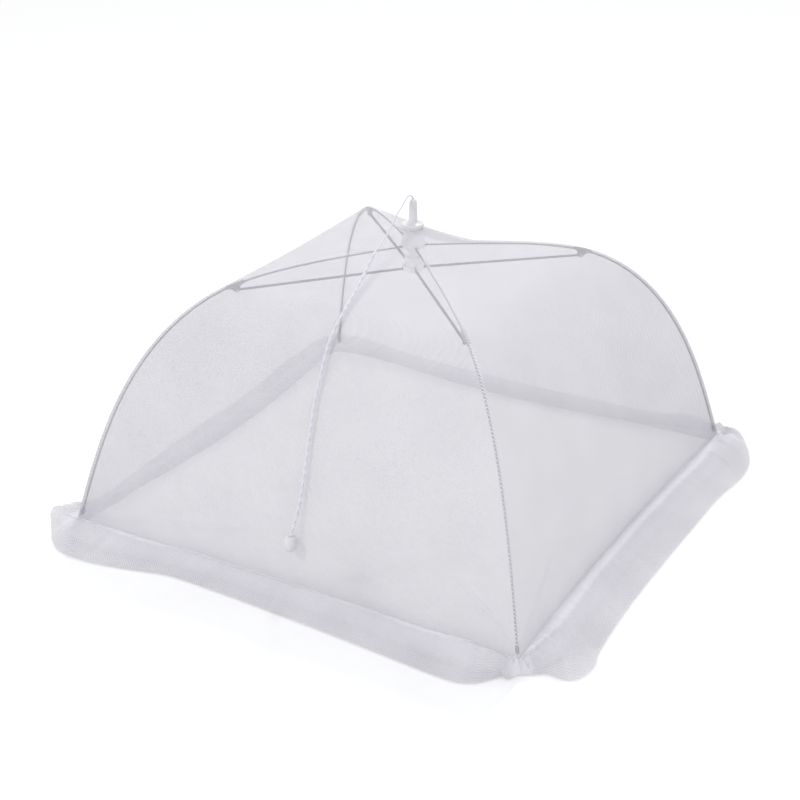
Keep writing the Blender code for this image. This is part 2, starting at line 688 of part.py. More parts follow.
# Route of the pull cord from the top of the cap down the front to its bead, chosen by eye
CORD_ROUTE = (
    (0.0, 0.0, 0.2615), (-0.0007, -0.0008, 0.2637), (-0.0020, -0.0032, 0.2646),
    (-0.0028, -0.0075, 0.2620), (-0.0030, -0.0140, 0.2576), (-0.0030, -0.0210, 0.2534),
    (-0.0030, -0.0330, 0.2442), (-0.0030, -0.0420, 0.2394), (-0.0025, -0.0575, 0.2325),
    (-0.0015, -0.0710, 0.2239), (0.0008, -0.0930, 0.2130), (0.0030, -0.1133, 0.2042),
    (0.0028, -0.1263, 0.1942), (0.0030, -0.1353, 0.1850), (0.0044, -0.1469, 0.1692),
    (0.0049, -0.1563, 0.1524), (0.0059, -0.1672, 0.1270), (0.0062, -0.1756, 0.1012),
    (0.0054, -0.1809, 0.0810), (0.0036, -0.1858, 0.0640), (0.0018, -0.1898, 0.0525),
    (0.0014, -0.1909, 0.0466),
)
# Where the bead's middle has climbed to once the ribs are folded
BEAD_RAISED = (0.0003, -0.0905, 0.2185)


def cord_points(route, spacing):
    """Evenly spaced points on a smooth curve through a route's points."""
    route = np.array(route)
    knots = np.vstack([2 * route[0] - route[1], route, 2 * route[-1] - route[-2]])
    fine = []
    for a, b, c, d in zip(knots, knots[1:], knots[2:], knots[3:]):
        for t in np.linspace(0, 1, CORD_CURVE_STEPS, endpoint=False):
            fine.append(0.5 * (2 * b + (c - a) * t + (2 * a - 5 * b + 4 * c - d) * t**2
                               + (3 * b - a - 3 * c + d) * t**3))
    fine = np.array(fine + [knots[-2]])
    gone = np.concatenate([[0], np.cumsum(np.linalg.norm(np.diff(fine, axis=0), axis=1))])
    even = np.linspace(0, gone[-1], int(round(gone[-1] / spacing)) + 1)
    return np.stack([np.interp(even, gone, fine[:, axis]) for axis in range(3)], axis=1)


def bead_mesh():
    """A barrel on the cord's end, about its own middle, with the hole that grips the cord at its top."""
    bore = CORD_RADIUS + TOUCH_GAP
    half = BEAD_LENGTH / 2
    floor = half - BEAD_GRIP_DEPTH
    profile = [(0, floor), (bore, floor), (bore, half), (BEAD_FLAT_RADIUS, half)]
    for turn in np.linspace(pi / 2, -pi / 2, BEAD_RINGS)[1:-1]:
        profile.append((BEAD_FLAT_RADIUS + (BEAD_RADIUS - BEAD_FLAT_RADIUS) * cos(turn), half * sin(turn)))
    profile += [(BEAD_FLAT_RADIUS, -half), (0, -half)]
    return turned("pull_bead", profile, False)


# The crown and the cap
crown = add("crown", crown_mesh(), milky_plastic)
slot_low = (RIB_PIVOT_REACH - EYE_RADIUS - TOUCH_GAP, -EYE_SLOT_WIDTH / 2, CROWN_FOOT - CUT_OVERRUN)
slot_high = (CROWN_SKIRT_RADIUS + CUT_OVERRUN, EYE_SLOT_WIDTH / 2, CROWN_SLOT_TOP)
slot = box("crown_slot", slot_low, slot_high)
pocket = cylinder("crown_pocket", PIN_RADIUS + PIN_CLEARANCE, PIN_POCKET_LENGTH,
                  centre=(RIB_PIVOT_REACH, 0, 0))
for corner in CORNERS:
    for kind, data in (("slot", slot), ("pocket", pocket)):
        place = (0, 0, rib_pivot_height)
        cut(crown, as_cutter(f"{corner}_crown_{kind}", data, place, bearing_of(corner)))
add("top_cap", cap_mesh(), milky_plastic)

# The runner and the knot that the cord pulls it up by
runner_slide = axis_empty("runner_slide", (0, 0, runner_pivot_height))
runner_data = runner_mesh()
runner_data.transform(Matrix.Translation((0, 0, -runner_pivot_height)))
runner = add("runner", runner_data, milky_plastic, runner_slide)
slot = box("runner_slot", (RUNNER_SLOT_REACH, -EYE_SLOT_WIDTH / 2, RUNNER_FOOT - CUT_OVERRUN),
           (RUNNER_RIM_RADIUS + CUT_OVERRUN, EYE_SLOT_WIDTH / 2, RUNNER_RIM_TOP + TOUCH_GAP))
pin_way = pin_way_mesh(RUNNER_FOOT)
pin_way.transform(Matrix.Translation((RUNNER_PIVOT_REACH, 0, 0)))
for corner in CORNERS:
    for kind, data in (("slot", slot), ("pin_way", pin_way)):
        place = (0, 0, runner_pivot_height)
        cut(runner, as_cutter(f"{corner}_runner_{kind}", data, place, bearing_of(corner)))
knot_top = RUNNER_FOOT - TOUCH_GAP
knot_middle = knot_top - KNOT_HEIGHT / 2
knot = [(KNOT_RADIUS * cos(turn), knot_middle + KNOT_HEIGHT / 2 * sin(turn))
        for turn in np.linspace(pi / 2, -pi / 2, KNOT_RINGS)]
knot[0] = (0, knot_top)
knot[-1] = (0, knot_top - KNOT_HEIGHT)
add("cord_stop", turned("cord_stop", knot, False, steps=SMALL_TURNED_STEPS), white_cord, runner_slide)

# The cord: up through the crown, over the top of the cap and down to its bead
inner_ends = [(0, 0, runner_pivot_height + RUNNER_FOOT), (0, 0, cap_top)]
add("inner_cord", wire("inner_cord", inner_ends, CORD_RADIUS), white_cord)
pull_points = cord_points(CORD_ROUTE, CORD_SPACING)
add("pull_cord", wire("pull_cord", pull_points, CORD_RADIUS), white_cord)
bead_way = (Vector(CORD_ROUTE[-1]) - Vector(CORD_ROUTE[-2])).normalized()
bead_middle = Vector(CORD_ROUTE[-1]) + bead_way * (BEAD_LENGTH / 2 - BEAD_GRIP_DEPTH + TOUCH_GAP)
bead_slide = axis_empty("bead_slide", bead_middle)
bead = add("pull_bead", bead_mesh(), white_bead, bead_slide)
bead.rotation_euler = (-bead_way).to_track_quat("Z", "Y").to_euler()

# The ribs, stretchers, netting and hem, the same at every corner
rib_data, bracket_data, rivet_data = rib_mesh(), bracket_mesh(), rivet_mesh()
stretcher_data, tip_data = stretcher_mesh(), tip_mesh()
pin_data = cylinder("pin", PIN_RADIUS, PIN_LENGTH)
tip_slope = RIB_OUTER_SLOPES[1]
for number, corner in enumerate(CORNERS):
    bearing = bearing_of(corner)
    out = Vector((cos(bearing), sin(bearing), 0))
    pivot = out * RIB_PIVOT_REACH + Vector((0, 0, rib_pivot_height))
    rib_fold = axis_empty(f"{corner}_rib_fold", pivot, bearing)
    rivet = (rivet_reach - RIB_PIVOT_REACH, 0, rivet_height - rib_pivot_height)
    stretcher_swing = axis_empty(f"{corner}_stretcher_swing", rivet, 0.0, rib_fold)
    pin = add(f"{corner}_crown_pin", pin_data, pin_steel, None, pivot)
    pin.rotation_euler = (0, 0, bearing)
    add(f"{corner}_rib", rib_data, black_wire, rib_fold)
    joint = (joint_reach - RIB_PIVOT_REACH, 0, joint_height - rib_pivot_height)
    add(f"{corner}_rib_bracket", bracket_data, black_wire, rib_fold, joint, bracket_slope)
    add(f"{corner}_bracket_rivet", rivet_data, pin_steel, stretcher_swing)
    end = (rib_reach[-1] - RIB_PIVOT_REACH, 0, RIB_TIP_HEIGHT - rib_pivot_height)
    add(f"{corner}_rib_tip", tip_data, black_wire, rib_fold, end, tip_slope - pi / 2)
    add(f"{corner}_stretcher", stretcher_data, grey_steel, stretcher_swing, (0, 0, 0), pi - stretcher_slope)
    inward = (-stretcher_length * cos(stretcher_slope), 0, -stretcher_length * sin(stretcher_slope))
    add(f"{corner}_runner_pin", pin_data, pin_steel, stretcher_swing, inward)
    before, after = SIDES[number], SIDES[(number + 1) % len(SIDES)]
    half_panel(f"{before}_panel_{after}", -1, rib_fold)
    half_panel(f"{after}_panel_{before}", 1, rib_fold)
    add(f"{corner}_hem", hem_mesh(f"{corner}_hem"), white_hem, rib_fold)

drop, stretcher_turn = folded(FOLD)
print(f"folding the ribs by {degrees(FOLD):.2f} degrees drops the runner by {drop:.5f} m, "
      f"and turns each stretcher by {degrees(stretcher_turn):.3f} degrees on its rib")
climb = Vector(BEAD_RAISED) - bead_middle
climb_way = tuple(round(part, 5) for part in climb.normalized())
print(f"and lifts the bead by {climb.length:.5f} m along {climb_way}")
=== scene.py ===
from math import atan, cos, hypot, pi, radians, sin, sqrt

import bmesh
import bpy
import numpy as np
from mathutils import Matrix, Vector


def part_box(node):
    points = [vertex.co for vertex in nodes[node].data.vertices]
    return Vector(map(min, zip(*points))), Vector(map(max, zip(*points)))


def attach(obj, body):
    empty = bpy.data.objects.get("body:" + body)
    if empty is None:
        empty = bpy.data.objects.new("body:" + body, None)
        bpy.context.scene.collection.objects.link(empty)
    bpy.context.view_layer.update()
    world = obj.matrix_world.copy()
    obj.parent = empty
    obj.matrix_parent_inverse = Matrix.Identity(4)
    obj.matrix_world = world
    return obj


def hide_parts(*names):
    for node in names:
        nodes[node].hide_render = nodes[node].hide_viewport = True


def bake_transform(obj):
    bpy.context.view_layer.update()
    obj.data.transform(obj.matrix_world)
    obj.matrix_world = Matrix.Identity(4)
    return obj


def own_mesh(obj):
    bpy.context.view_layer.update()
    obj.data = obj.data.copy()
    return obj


# A square food cover of white tulle on folding wire ribs, standing open on a pale floor
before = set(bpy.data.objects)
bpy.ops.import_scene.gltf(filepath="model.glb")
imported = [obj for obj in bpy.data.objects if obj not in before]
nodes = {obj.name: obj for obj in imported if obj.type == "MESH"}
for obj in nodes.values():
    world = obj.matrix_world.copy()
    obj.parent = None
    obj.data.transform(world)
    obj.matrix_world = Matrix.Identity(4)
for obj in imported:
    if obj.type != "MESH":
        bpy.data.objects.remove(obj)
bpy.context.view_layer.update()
bpy.ops.object.select_all(action="DESELECT")


# Camera
# The photograph looks down on the near right corner from a little over a metre away,
# with the crown just right of the middle of the frame.
VIEW_BEARING = radians(29.66)
VIEW_ELEVATION = radians(26.13)
VIEW_DISTANCE = 1.378
VIEW_TARGET = Vector((0.0, 0.0, 0.0832))
VIEW_LENS = 73.57
VIEW_SENSOR = 36.0
VIEW_SHIFT = -0.0163
VIEW_CLIP = (0.01, 50.0)

towards_camera = Vector((sin(VIEW_BEARING) * cos(VIEW_ELEVATION),
                         -cos(VIEW_BEARING) * cos(VIEW_ELEVATION), sin(VIEW_ELEVATION)))
bpy.ops.object.camera_add(location=VIEW_TARGET + towards_camera * VIEW_DISTANCE)
camera = bpy.context.object
camera.rotation_euler = (-towards_camera).to_track_quat("-Z", "Y").to_euler()
camera.data.lens = VIEW_LENS
camera.data.sensor_width = VIEW_SENSOR
camera.data.shift_x = VIEW_SHIFT
camera.data.clip_start, camera.data.clip_end = VIEW_CLIP
bpy.context.scene.camera = camera
bpy.context.scene.view_settings.view_transform = "Standard"


# Floor, daylight dome and lamps
# A white sweep of card under soft light from all round. Two small boxes, front left and
# behind, cast the faint shadows of the wires and the crown inside the cover, and a wide
# one on the right lights the near corner and the inside of the far panels.
FLOOR_RADIUS = 9.0
FLOOR_BELOW = 0.0004
CARD_WHITE = (0.92, 0.92, 0.92, 1)
PLAIN_WHITE = (1, 1, 1, 1)
# The card fades into plain white away from the cover: (metres, share of plain white)
FADE_STARTS = (0.9, 0.10)
FADE_ENDS = (2.4, 1.0)
SKY_COLOUR = (0.97, 0.98, 1.0, 1)
SKY_STRENGTH = 0.885
# Each lamp: place, width and power in watts
LAMPS = {"front_box": ((-0.95, -1.39, 1.36), 0.20, 8.5), "back_box": ((-0.27, 1.08, 1.74), 0.20, 13.0),
         "right_box": ((1.30, -0.40, 1.10), 0.70, 2.0)}


def feed(tree, node, inputs):
    """Gives each of a node's inputs a plain value, or links it to the output that is given."""
    for socket, value in inputs.items():
        if isinstance(value, bpy.types.NodeSocket):
            tree.links.new(value, node.inputs[socket])
        else:
            node.inputs[socket].default_value = value


def wired(tree, kind, inputs, **settings):
    """A new shader node with its settings and inputs."""
    node = tree.nodes.new(kind)
    for setting, value in settings.items():
        setattr(node, setting, value)
    feed(tree, node, inputs)
    return node


def worked(tree, operation, *values):
    """A sum done on up to three numbers."""
    return wired(tree, "ShaderNodeMath", dict(enumerate(values)), operation=operation).outputs[0]


def spread(tree, number, starts, ends):
    """A number carried from one (in, out) pair to another, and held beyond them."""
    inputs = {"Value": number, "From Min": starts[0], "From Max": ends[0],
              "To Min": starts[1], "To Max": ends[1]}
    return wired(tree, "ShaderNodeMapRange", inputs).outputs[0]


def new_material(name):
    """A material, its node tree and its Principled shader."""
    material = bpy.data.materials.new(name)
    material.use_nodes = True
    tree = material.node_tree
    return material, tree, tree.nodes["Principled BSDF"]


def plain_seen_directly(tree):
    """1 where a surface or the sky is seen by the camera, in a reflection or through glass."""
    path = tree.nodes.new("ShaderNodeLightPath").outputs
    seen = worked(tree, "MAXIMUM", path["Is Camera Ray"], path["Is Glossy Ray"])
    return worked(tree, "MAXIMUM", seen, path["Is Transmission Ray"])


bpy.ops.mesh.primitive_circle_add(vertices=96, radius=FLOOR_RADIUS, fill_type="NGON",
                                  location=(0, 0, -FLOOR_BELOW))
floor = bpy.context.object
floor.name = "floor_card"
card, tree, shader = new_material("floor_card")
feed(tree, shader, {"Base Color": CARD_WHITE, "Roughness": 0.9, "Specular IOR Level": 0.1})
glow = wired(tree, "ShaderNodeEmission", {"Color": PLAIN_WHITE})
place = tree.nodes.new("ShaderNodeTexCoord")
far = wired(tree, "ShaderNodeVectorMath", {0: place.outputs["Object"]}, operation="LENGTH")
fade = spread(tree, far.outputs["Value"], FADE_STARTS, FADE_ENDS)
glow_share = worked(tree, "MULTIPLY", plain_seen_directly(tree), fade)
blend = wired(tree, "ShaderNodeMixShader", {0: glow_share, 1: shader.outputs[0], 2: glow.outputs[0]})
tree.links.new(blend.outputs[0], tree.nodes["Material Output"].inputs["Surface"])
floor.data.materials.append(card)

world = bpy.data.worlds.new("pale_room")
world.use_nodes = True
bpy.context.scene.world = world
tree = world.node_tree
dome = tree.nodes["Background"]
feed(tree, dome, {"Color": SKY_COLOUR, "Strength": SKY_STRENGTH})
backdrop = wired(tree, "ShaderNodeBackground", {"Color": PLAIN_WHITE})
skies = {0: plain_seen_directly(tree), 1: dome.outputs[0], 2: backdrop.outputs[0]}
mix = wired(tree, "ShaderNodeMixShader", skies)
tree.links.new(mix.outputs[0], tree.nodes["World Output"].inputs["Surface"])

for lamp_name, (place, size, power) in LAMPS.items():
    bpy.ops.object.light_add(type="AREA", location=place)
    lamp = bpy.context.object
    lamp.name = lamp_name
    lamp.data.size = size
    lamp.data.energy = power
    lamp.rotation_euler = (-(Vector(place) - VIEW_TARGET)).to_track_quat("-Z", "Y").to_euler()


# Pull cord
# A thin two-ply cord of white cotton. It comes up through the post on the crown, flops
# over its rim and runs down the front panel to the bead that pulls the cover open.
CORD_DIAMETER = 0.0014
CORD_ROUTE = (
    (0.0, 0.0, 0.2615), (-0.0007, -0.0008, 0.2637), (-0.0020, -0.0032, 0.2646),
    (-0.0028, -0.0075, 0.2620), (-0.0030, -0.0140, 0.2576), (-0.0030, -0.0210, 0.2534),
    (-0.0030, -0.0330, 0.2442), (-0.0030, -0.0420, 0.2394), (-0.0025, -0.0575, 0.2325),
    (-0.0015, -0.0710, 0.2239), (0.0008, -0.0930, 0.2130), (0.0030, -0.1133, 0.2042),
    (0.0028, -0.1263, 0.1942), (0.0030, -0.1353, 0.1850), (0.0044, -0.1469, 0.1692),
    (0.0049, -0.1563, 0.1524), (0.0059, -0.1672, 0.1270), (0.0062, -0.1756, 0.1012),
    (0.0054, -0.1809, 0.0810), (0.0036, -0.1858, 0.0640), (0.0018, -0.1898, 0.0525),
    (0.0014, -0.1909, 0.0466),
)
CORD_STATION = 0.0009
CORD_LAY = 0.0056
CORD_DOUBLED_FROM = 0.058
# The groove between two plies, as a share of the cord's radius
PLY_GROOVE = 0.14
# The doubled part: its thinnest and what its widest adds, in radii, its lay in lays of the
# single cord, and the length over which it begins
PAIR_WAIST, PAIR_SWELL, PAIR_LAY = 0.75, 1.2, 2.6
PAIR_BEGINS_OVER = 0.012
CORD_WHITE = (0.76, 0.73, 0.80)
CURVE_STEPS = 24


def between(before, here, there, after, t):
    """A point of the smooth curve from here to there, which looks at the points on both sides."""
    return 0.5 * (2 * here + (there - before) * t + (2 * before - 5 * here + 4 * there - after) * t**2
                  + (3 * here - before - 3 * there + after) * t**3)


def length_so_far(points):
    """The length gone at each point of a line."""
    return np.concatenate([[0], np.cumsum(np.linalg.norm(np.diff(points, axis=0), axis=1))])


def smooth_route(route, spacing):
    """Evenly spaced points on a smooth curve through a route's points."""
    route = np.array(route)
    knots = np.vstack([2 * route[0] - route[1], route, 2 * route[-1] - route[-2]])
    fine = []
    for four in zip(knots, knots[1:], knots[2:], knots[3:]):
        fine += [between(*four, t) for t in np.linspace(0, 1, CURVE_STEPS, endpoint=False)]
    fine = np.array(fine + [knots[-2]])
    gone = length_so_far(fine)
    even = np.linspace(0, gone[-1], int(round(gone[-1] / spacing)) + 1)
    return np.stack([np.interp(even, gone, fine[:, axis]) for axis in range(3)], axis=1), gone[-1]


def laid_mesh(name, rows, coordinates, round_rows=False, capped=False, crisp=()):
    """A mesh object laid through equal rows of points, with a UV map in metres.

    The edges down its crisp columns stay sharp where the rest is shaded smooth.
    """
    bm = bmesh.new()
    uv_layer = bm.loops.layers.uv.new("UVMap")
    grid = [[bm.verts.new(point) for point in row] for row in rows]
    for i in range(len(rows) - 1):
        count = len(rows[i])
        for j in range(count if round_rows else count - 1):
            k = (j + 1) % count
            face = bm.faces.new((grid[i][j], grid[i][k], grid[i + 1][k], grid[i + 1][j]))
            closes = round_rows and k == 0
            for loop, (a, b) in zip(face.loops, ((i, j), (i, k), (i + 1, k), (i + 1, j))):
                loop[uv_layer].uv = coordinates[a][count if closes and b == 0 else b]
    if capped:
        for row in (grid[0], grid[-1]):
            bm.faces.new(row)
    for before, after in zip(grid, grid[1:]):
        for column in crisp:
            bm.edges.get((before[column], after[column])).smooth = False
    bmesh.ops.recalc_face_normals(bm, faces=bm.faces)
    data = bpy.data.meshes.new(name)
    bm.to_mesh(data)
    bm.free()
    data.shade_smooth()
    piece = bpy.data.objects.new(name, data)
    bpy.context.scene.collection.objects.link(piece)
    return piece


def twisted_tube(name, points, radius, lay_length, doubled_from=None, segments=16):
    """A two-ply cord along evenly spaced points, closed at both ends.

    Past doubled_from along its length the cord lies doubled, two strands twisted together.
    """
    points = np.array(points)
    ways = np.gradient(points, axis=0)
    ways /= np.linalg.norm(ways, axis=1)[:, None]
    across = np.cross(ways[0], (1.0, 0.0, 0.0))
    across /= np.linalg.norm(across)
    gone = 0.0
    rows, coordinates = [], []
    for number, (point, way) in enumerate(zip(points, ways)):
        if number:
            gone += np.linalg.norm(point - points[number - 1])
        across = across - way * across.dot(way)
        across /= np.linalg.norm(across)
        up = np.cross(way, across)
        row, line = [], []
        for step in range(segments):
            turn = 2 * pi * step / segments
            bulge = radius * (1 - PLY_GROOVE + PLY_GROOVE * abs(cos(turn - 2 * pi * gone / lay_length)))
            if doubled_from is not None:
                doubled = min(1.0, max(0.0, (gone - doubled_from) / PAIR_BEGINS_OVER))
                pair_turn = turn - 2 * pi * (gone - doubled_from) / (PAIR_LAY * lay_length)
                pair = PAIR_WAIST + PAIR_SWELL * abs(cos(pair_turn)) ** 1.5
                bulge = bulge * (1 - doubled) + radius * pair * doubled
            row.append(point + bulge * (across * cos(turn) + up * sin(turn)))
            line.append((turn * radius, gone))
        rows.append(row)
        coordinates.append(line + [(2 * pi * radius, gone)])
    return laid_mesh(name, rows, coordinates, True, True)


def shaded(tree, number, starts, ends):
    """A colour that goes from one to another as a number rises between two (level, colour) pairs."""
    ramp = wired(tree, "ShaderNodeValToRGB", {"Fac": number})
    for element, (level, colour) in zip(ramp.color_ramp.elements, (starts, ends)):
        element.position = level
        element.color = (*colour, 1)
    return ramp.outputs["Color"]


def speckle(tree, scale, detail=2.0):
    """A fine unevenness through a piece."""
    place = tree.nodes.new("ShaderNodeTexCoord")
    noise = {"Vector": place.outputs["Object"], "Scale": scale, "Detail": detail}
    return wired(tree, "ShaderNodeTexNoise", noise).outputs["Fac"]


def raised(tree, height, strength, distance):
    """The normal of a surface that a height stands on."""
    bump = {"Height": height, "Strength": strength, "Distance": distance}
    return wired(tree, "ShaderNodeBump", bump).outputs["Normal"]


def cotton(name, colour):
    """Spun cotton: fine fibres over a soft, uneven colour."""
    material, tree, shader = new_material(name)
    fibre = speckle(tree, 2600.0, 3.0)
    feed(tree, shader, {
        "Base Color": shaded(tree, fibre, (0.35, [part * 0.86 for part in colour]), (0.65, colour)),
        "Normal": raised(tree, fibre, 0.4, 0.0002), "Roughness": 0.85, "Sheen Weight": 0.15})
    return material


cord_cotton = cotton("cord_cotton", CORD_WHITE)
cord_points, cord_length = smooth_route(CORD_ROUTE, CORD_STATION)
pull_cord = twisted_tube("pull_cord_twist", cord_points, CORD_DIAMETER / 2, CORD_LAY, CORD_DOUBLED_FROM)
pull_cord.data.materials.append(cord_cotton)
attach(pull_cord, "crown")
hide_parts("pull_cord")
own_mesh(pull_cord)


# Inner cord and its knot
# The same cotton cord inside the cover. It is knotted under the runner, which hangs on the
# knot, and goes up through the crown to the mouth of the post.
INNER_CORD_STATION = 0.0012
INNER_CORD_SHARE = 0.96


def repaint(node, material):
    """Gives a node of the frame its finish."""
    nodes[node].data.materials.clear()
    nodes[node].data.materials.append(material)


runner_low, runner_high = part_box("runner")
cap_low, cap_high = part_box("top_cap")
inner_points = [(0.0, 0.0, height) for height in np.arange(runner_low.z, cap_high.z, INNER_CORD_STATION)]
inner_cord = twisted_tube("inner_cord_twist", inner_points, CORD_DIAMETER / 2 * INNER_CORD_SHARE, CORD_LAY)
inner_cord.data.materials.append(cord_cotton)
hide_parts("inner_cord")
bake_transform(inner_cord)
repaint("cord_stop", cord_cotton)


# Netting
# Four panels of fine polyester tulle, sewn to each other and to the ribs, clamped at the top
# under the cap and hanging in a hollow between the ribs. Each half of a panel is a piece of
# its own here, from mid side to its own rib.
SIDES = ("front", "right", "back", "left")
CORNERS = ("front_right", "back_right", "back_left", "front_left")
# The tulle's threads cross on the slant, and stand twice as wide where it is folded double.
# Their haze covers a little of each hole as well.
THREAD_SLANT = (0.6, 0.8)
THREAD_WANDER = 0.0010
FOLD_WIDENS = 0.9
THREAD_COVER, HOLE_COVER = 0.5, 0.29
# Painted light: where the cloth is folded double its colour is painted paler, towards this white, for the
# light that the doubled layers would scatter.
FOLD_PAINTED_LIGHT = (0.90, 0.885, 0.93, 1)
# The netting's tulle: both tones, metres between threads, thread's share of that, and the
# share of the light that its threads let pass
NET_WHITE, NET_SHADE = (0.635, 0.625, 0.662), (0.605, 0.594, 0.632)
NET_PITCH, NET_THREAD, NET_PASSES = 0.0010, 0.33, 0.25
# A rib's two arcs: length, and slope at the start and at the end
RIB_INNER = (0.1402, radians(4.5), radians(17.0))
RIB_OUTER = (0.240, radians(18.0), radians(72.0))
RIB_PIVOT_REACH = 0.0072
RIB_TIP_HEIGHT = 0.0165
NET_LIFT = 0.0021
NET_APEX_REACH = 0.0077
NET_BELOW_CAP_TOP = 0.0240
NET_MEETS_RIB = 0.045
NET_ROWS = 96
NET_ROWS_ON_INNER_ARC = 34
NET_COLUMNS = 36
# Closer columns beside the rib, where the seam is: shares of the way from mid side
NET_SEAM_COLUMNS = (0.955, 0.968, 0.978, 0.986, 0.991, 0.995, 0.998, 1.0)
SEAM_BELOW_TIP = 0.0040
SEAM_SAG = 0.0110
SEAM_DROP = 0.0085
SEAM_WIDTH = 0.0030
SIDE_OUT = {"front": Vector((0, -1, 0)), "right": Vector((1, 0, 0)),
            "back": Vector((0, 1, 0)), "left": Vector((-1, 0, 0))}
# How far each panel's middle hangs below a taut one, and the share of the way down where
# it is taut again
SIDE_SLACK = {"front": 0.0008, "right": 0.0010, "back": 0.0150, "left": 0.0022}
SLACK_ENDS = 0.66
# The gathers along the foot: share of the panel's length, height, and waves per metre
FOOT_SHARE, GATHER_HEIGHT, GATHER_WAVES = 0.05, 0.0003, 420.0
# Creases that the photograph shows from a corner into a panel: start, end and width in
# (share from mid side to rib, share of the way down)
CREASES = {("front", -1): ((0.99, 0.985), (0.10, 0.90), 0.012),
           ("front", 1): ((0.99, 0.97), (0.72, 0.86), 0.010),
           ("right", -1): ((0.99, 0.98), (0.60, 0.88), 0.012),
           ("right", 1): ((0.99, 0.97), (0.75, 0.86), 0.010)}
CREASE_HEIGHT = 0.0010
# How far the cloth counts as folded double at the seam, on a crease and along the foot
SEAM_FOLD, CREASE_FOLD, FOOT_FOLD = 0.35, 1.1, 0.4


def tulle_group():
    """Thread mask of a fine net on a surface vector in metres, with wider threads where Fold is 1."""
    group = bpy.data.node_groups.new("tulle_threads", "ShaderNodeTree")
    for socket, kind in (("Surface", "NodeSocketVector"), ("Fold", "NodeSocketFloat"),
                         ("Pitch", "NodeSocketFloat"), ("Thread", "NodeSocketFloat")):
        group.interface.new_socket(name=socket, in_out="INPUT", socket_type=kind)
    for socket in ("Cover", "Height"):
        group.interface.new_socket(name=socket, in_out="OUTPUT", socket_type="NodeSocketFloat")
    entry = group.nodes.new("NodeGroupInput").outputs
    leave = group.nodes.new("NodeGroupOutput")
    noise = {"Vector": entry["Surface"], "Scale": 330.0, "Detail": 2.0}
    drift = wired(group, "ShaderNodeTexNoise", noise)
    moved = {0: drift.outputs["Color"], 1: (THREAD_WANDER, THREAD_WANDER, 0.0), 2: entry["Surface"]}
    shift = wired(group, "ShaderNodeVectorMath", moved, operation="MULTIPLY_ADD")
    apart = wired(group, "ShaderNodeSeparateXYZ", {0: shift.outputs[0]}).outputs
    widened = worked(group, "ADD", worked(group, "MULTIPLY", entry["Fold"], FOLD_WIDENS), 1.0)
    half_width = worked(group, "MULTIPLY", worked(group, "MULTIPLY", widened, entry["Thread"]), 0.5)
    masks, heights = [], []
    for hand in ("ADD", "SUBTRACT"):
        slant = worked(group, hand, worked(group, "MULTIPLY", apart["X"], THREAD_SLANT[0]),
                       worked(group, "MULTIPLY", apart["Y"], THREAD_SLANT[1]))
        across = worked(group, "FRACT", worked(group, "DIVIDE", slant, entry["Pitch"]))
        middle = worked(group, "ABSOLUTE", worked(group, "SUBTRACT", across, 0.5))
        masks.append(worked(group, "LESS_THAN", middle, half_width))
        heights.append(worked(group, "SUBTRACT", 1.0, worked(group, "DIVIDE", middle, half_width)))
    threads = worked(group, "MULTIPLY", worked(group, "MAXIMUM", *masks), THREAD_COVER)
    feed(group, leave, {"Cover": worked(group, "ADD", threads, HOLE_COVER),
                        "Height": worked(group, "MAXIMUM", *heights)})
    return group


tulle_threads = tulle_group()


def tulle(name, colour, shade_colour, pitch, thread, passes):
    """Tulle that is seen through between its hazy threads, which let a share of the light pass. Where it is
    folded double its colour is painted paler, as painted light.
    """
    material, tree, shader = new_material(name)
    surface = wired(tree, "ShaderNodeUVMap", {}, uv_map="UVMap").outputs[0]
    fold = wired(tree, "ShaderNodeAttribute", {}, attribute_name="fold").outputs["Fac"]
    net = {"Surface": surface, "Fold": fold, "Pitch": pitch, "Thread": thread}
    threads = wired(tree, "ShaderNodeGroup", net, node_tree=tulle_threads).outputs
    cloud = wired(tree, "ShaderNodeTexNoise", {"Vector": surface, "Scale": 22.0, "Detail": 2.0})
    tone = shaded(tree, cloud.outputs["Fac"], (0.38, shade_colour), (0.62, colour))
    # Painted light: fold values from 0.7 to 1.7 pale the colour towards the fold white.
    painted_brightness = spread(tree, fold, (0.7, 0.0), (1.7, 0.6))
    doubled = wired(tree, "ShaderNodeMixRGB", {"Fac": painted_brightness, "Color1": tone, "Color2": FOLD_PAINTED_LIGHT})
    path = tree.nodes.new("ShaderNodeLightPath").outputs
    let_through = worked(tree, "MULTIPLY_ADD", path["Is Shadow Ray"], -passes, 1.0)
    feed(tree, shader, {
        "Base Color": doubled.outputs["Color"], "Roughness": 0.7, "Specular IOR Level": 0.25,
        "Alpha": worked(tree, "MULTIPLY", threads["Cover"], let_through),
        "Normal": raised(tree, threads["Height"], 0.25, 0.0001)})
    return material


net_tulle = tulle("net_tulle", NET_WHITE, NET_SHADE, NET_PITCH, NET_THREAD, NET_PASSES)


def rib_centre_line(steps=400):
    """Length gone, reach, height and slope of a rib's centre line from its pivot."""
    share = (np.arange(steps) + 0.5) / steps
    inner = RIB_INNER[1] + (RIB_INNER[2] - RIB_INNER[1]) * share**3
    outer = RIB_OUTER[1] + (RIB_OUTER[2] - RIB_OUTER[1]) * (1 - (1 - share) ** 2)
    slope = np.concatenate([inner, outer])
    step = np.concatenate([np.full(steps, RIB_INNER[0] / steps), np.full(steps, RIB_OUTER[0] / steps)])
    gone = np.concatenate([[0], np.cumsum(step)])
    reach = RIB_PIVOT_REACH + np.concatenate([[0], np.cumsum(step * np.cos(slope))])
    drop = np.concatenate([[0], np.cumsum(step * np.sin(slope))])
    return gone, reach, RIB_TIP_HEIGHT + drop[-1] - drop, np.concatenate([slope[:1], slope])


rib_gone, rib_reach, rib_height, rib_slope = rib_centre_line()
rib_length = rib_gone[-1]
apex_height = cap_high.z - NET_BELOW_CAP_TOP


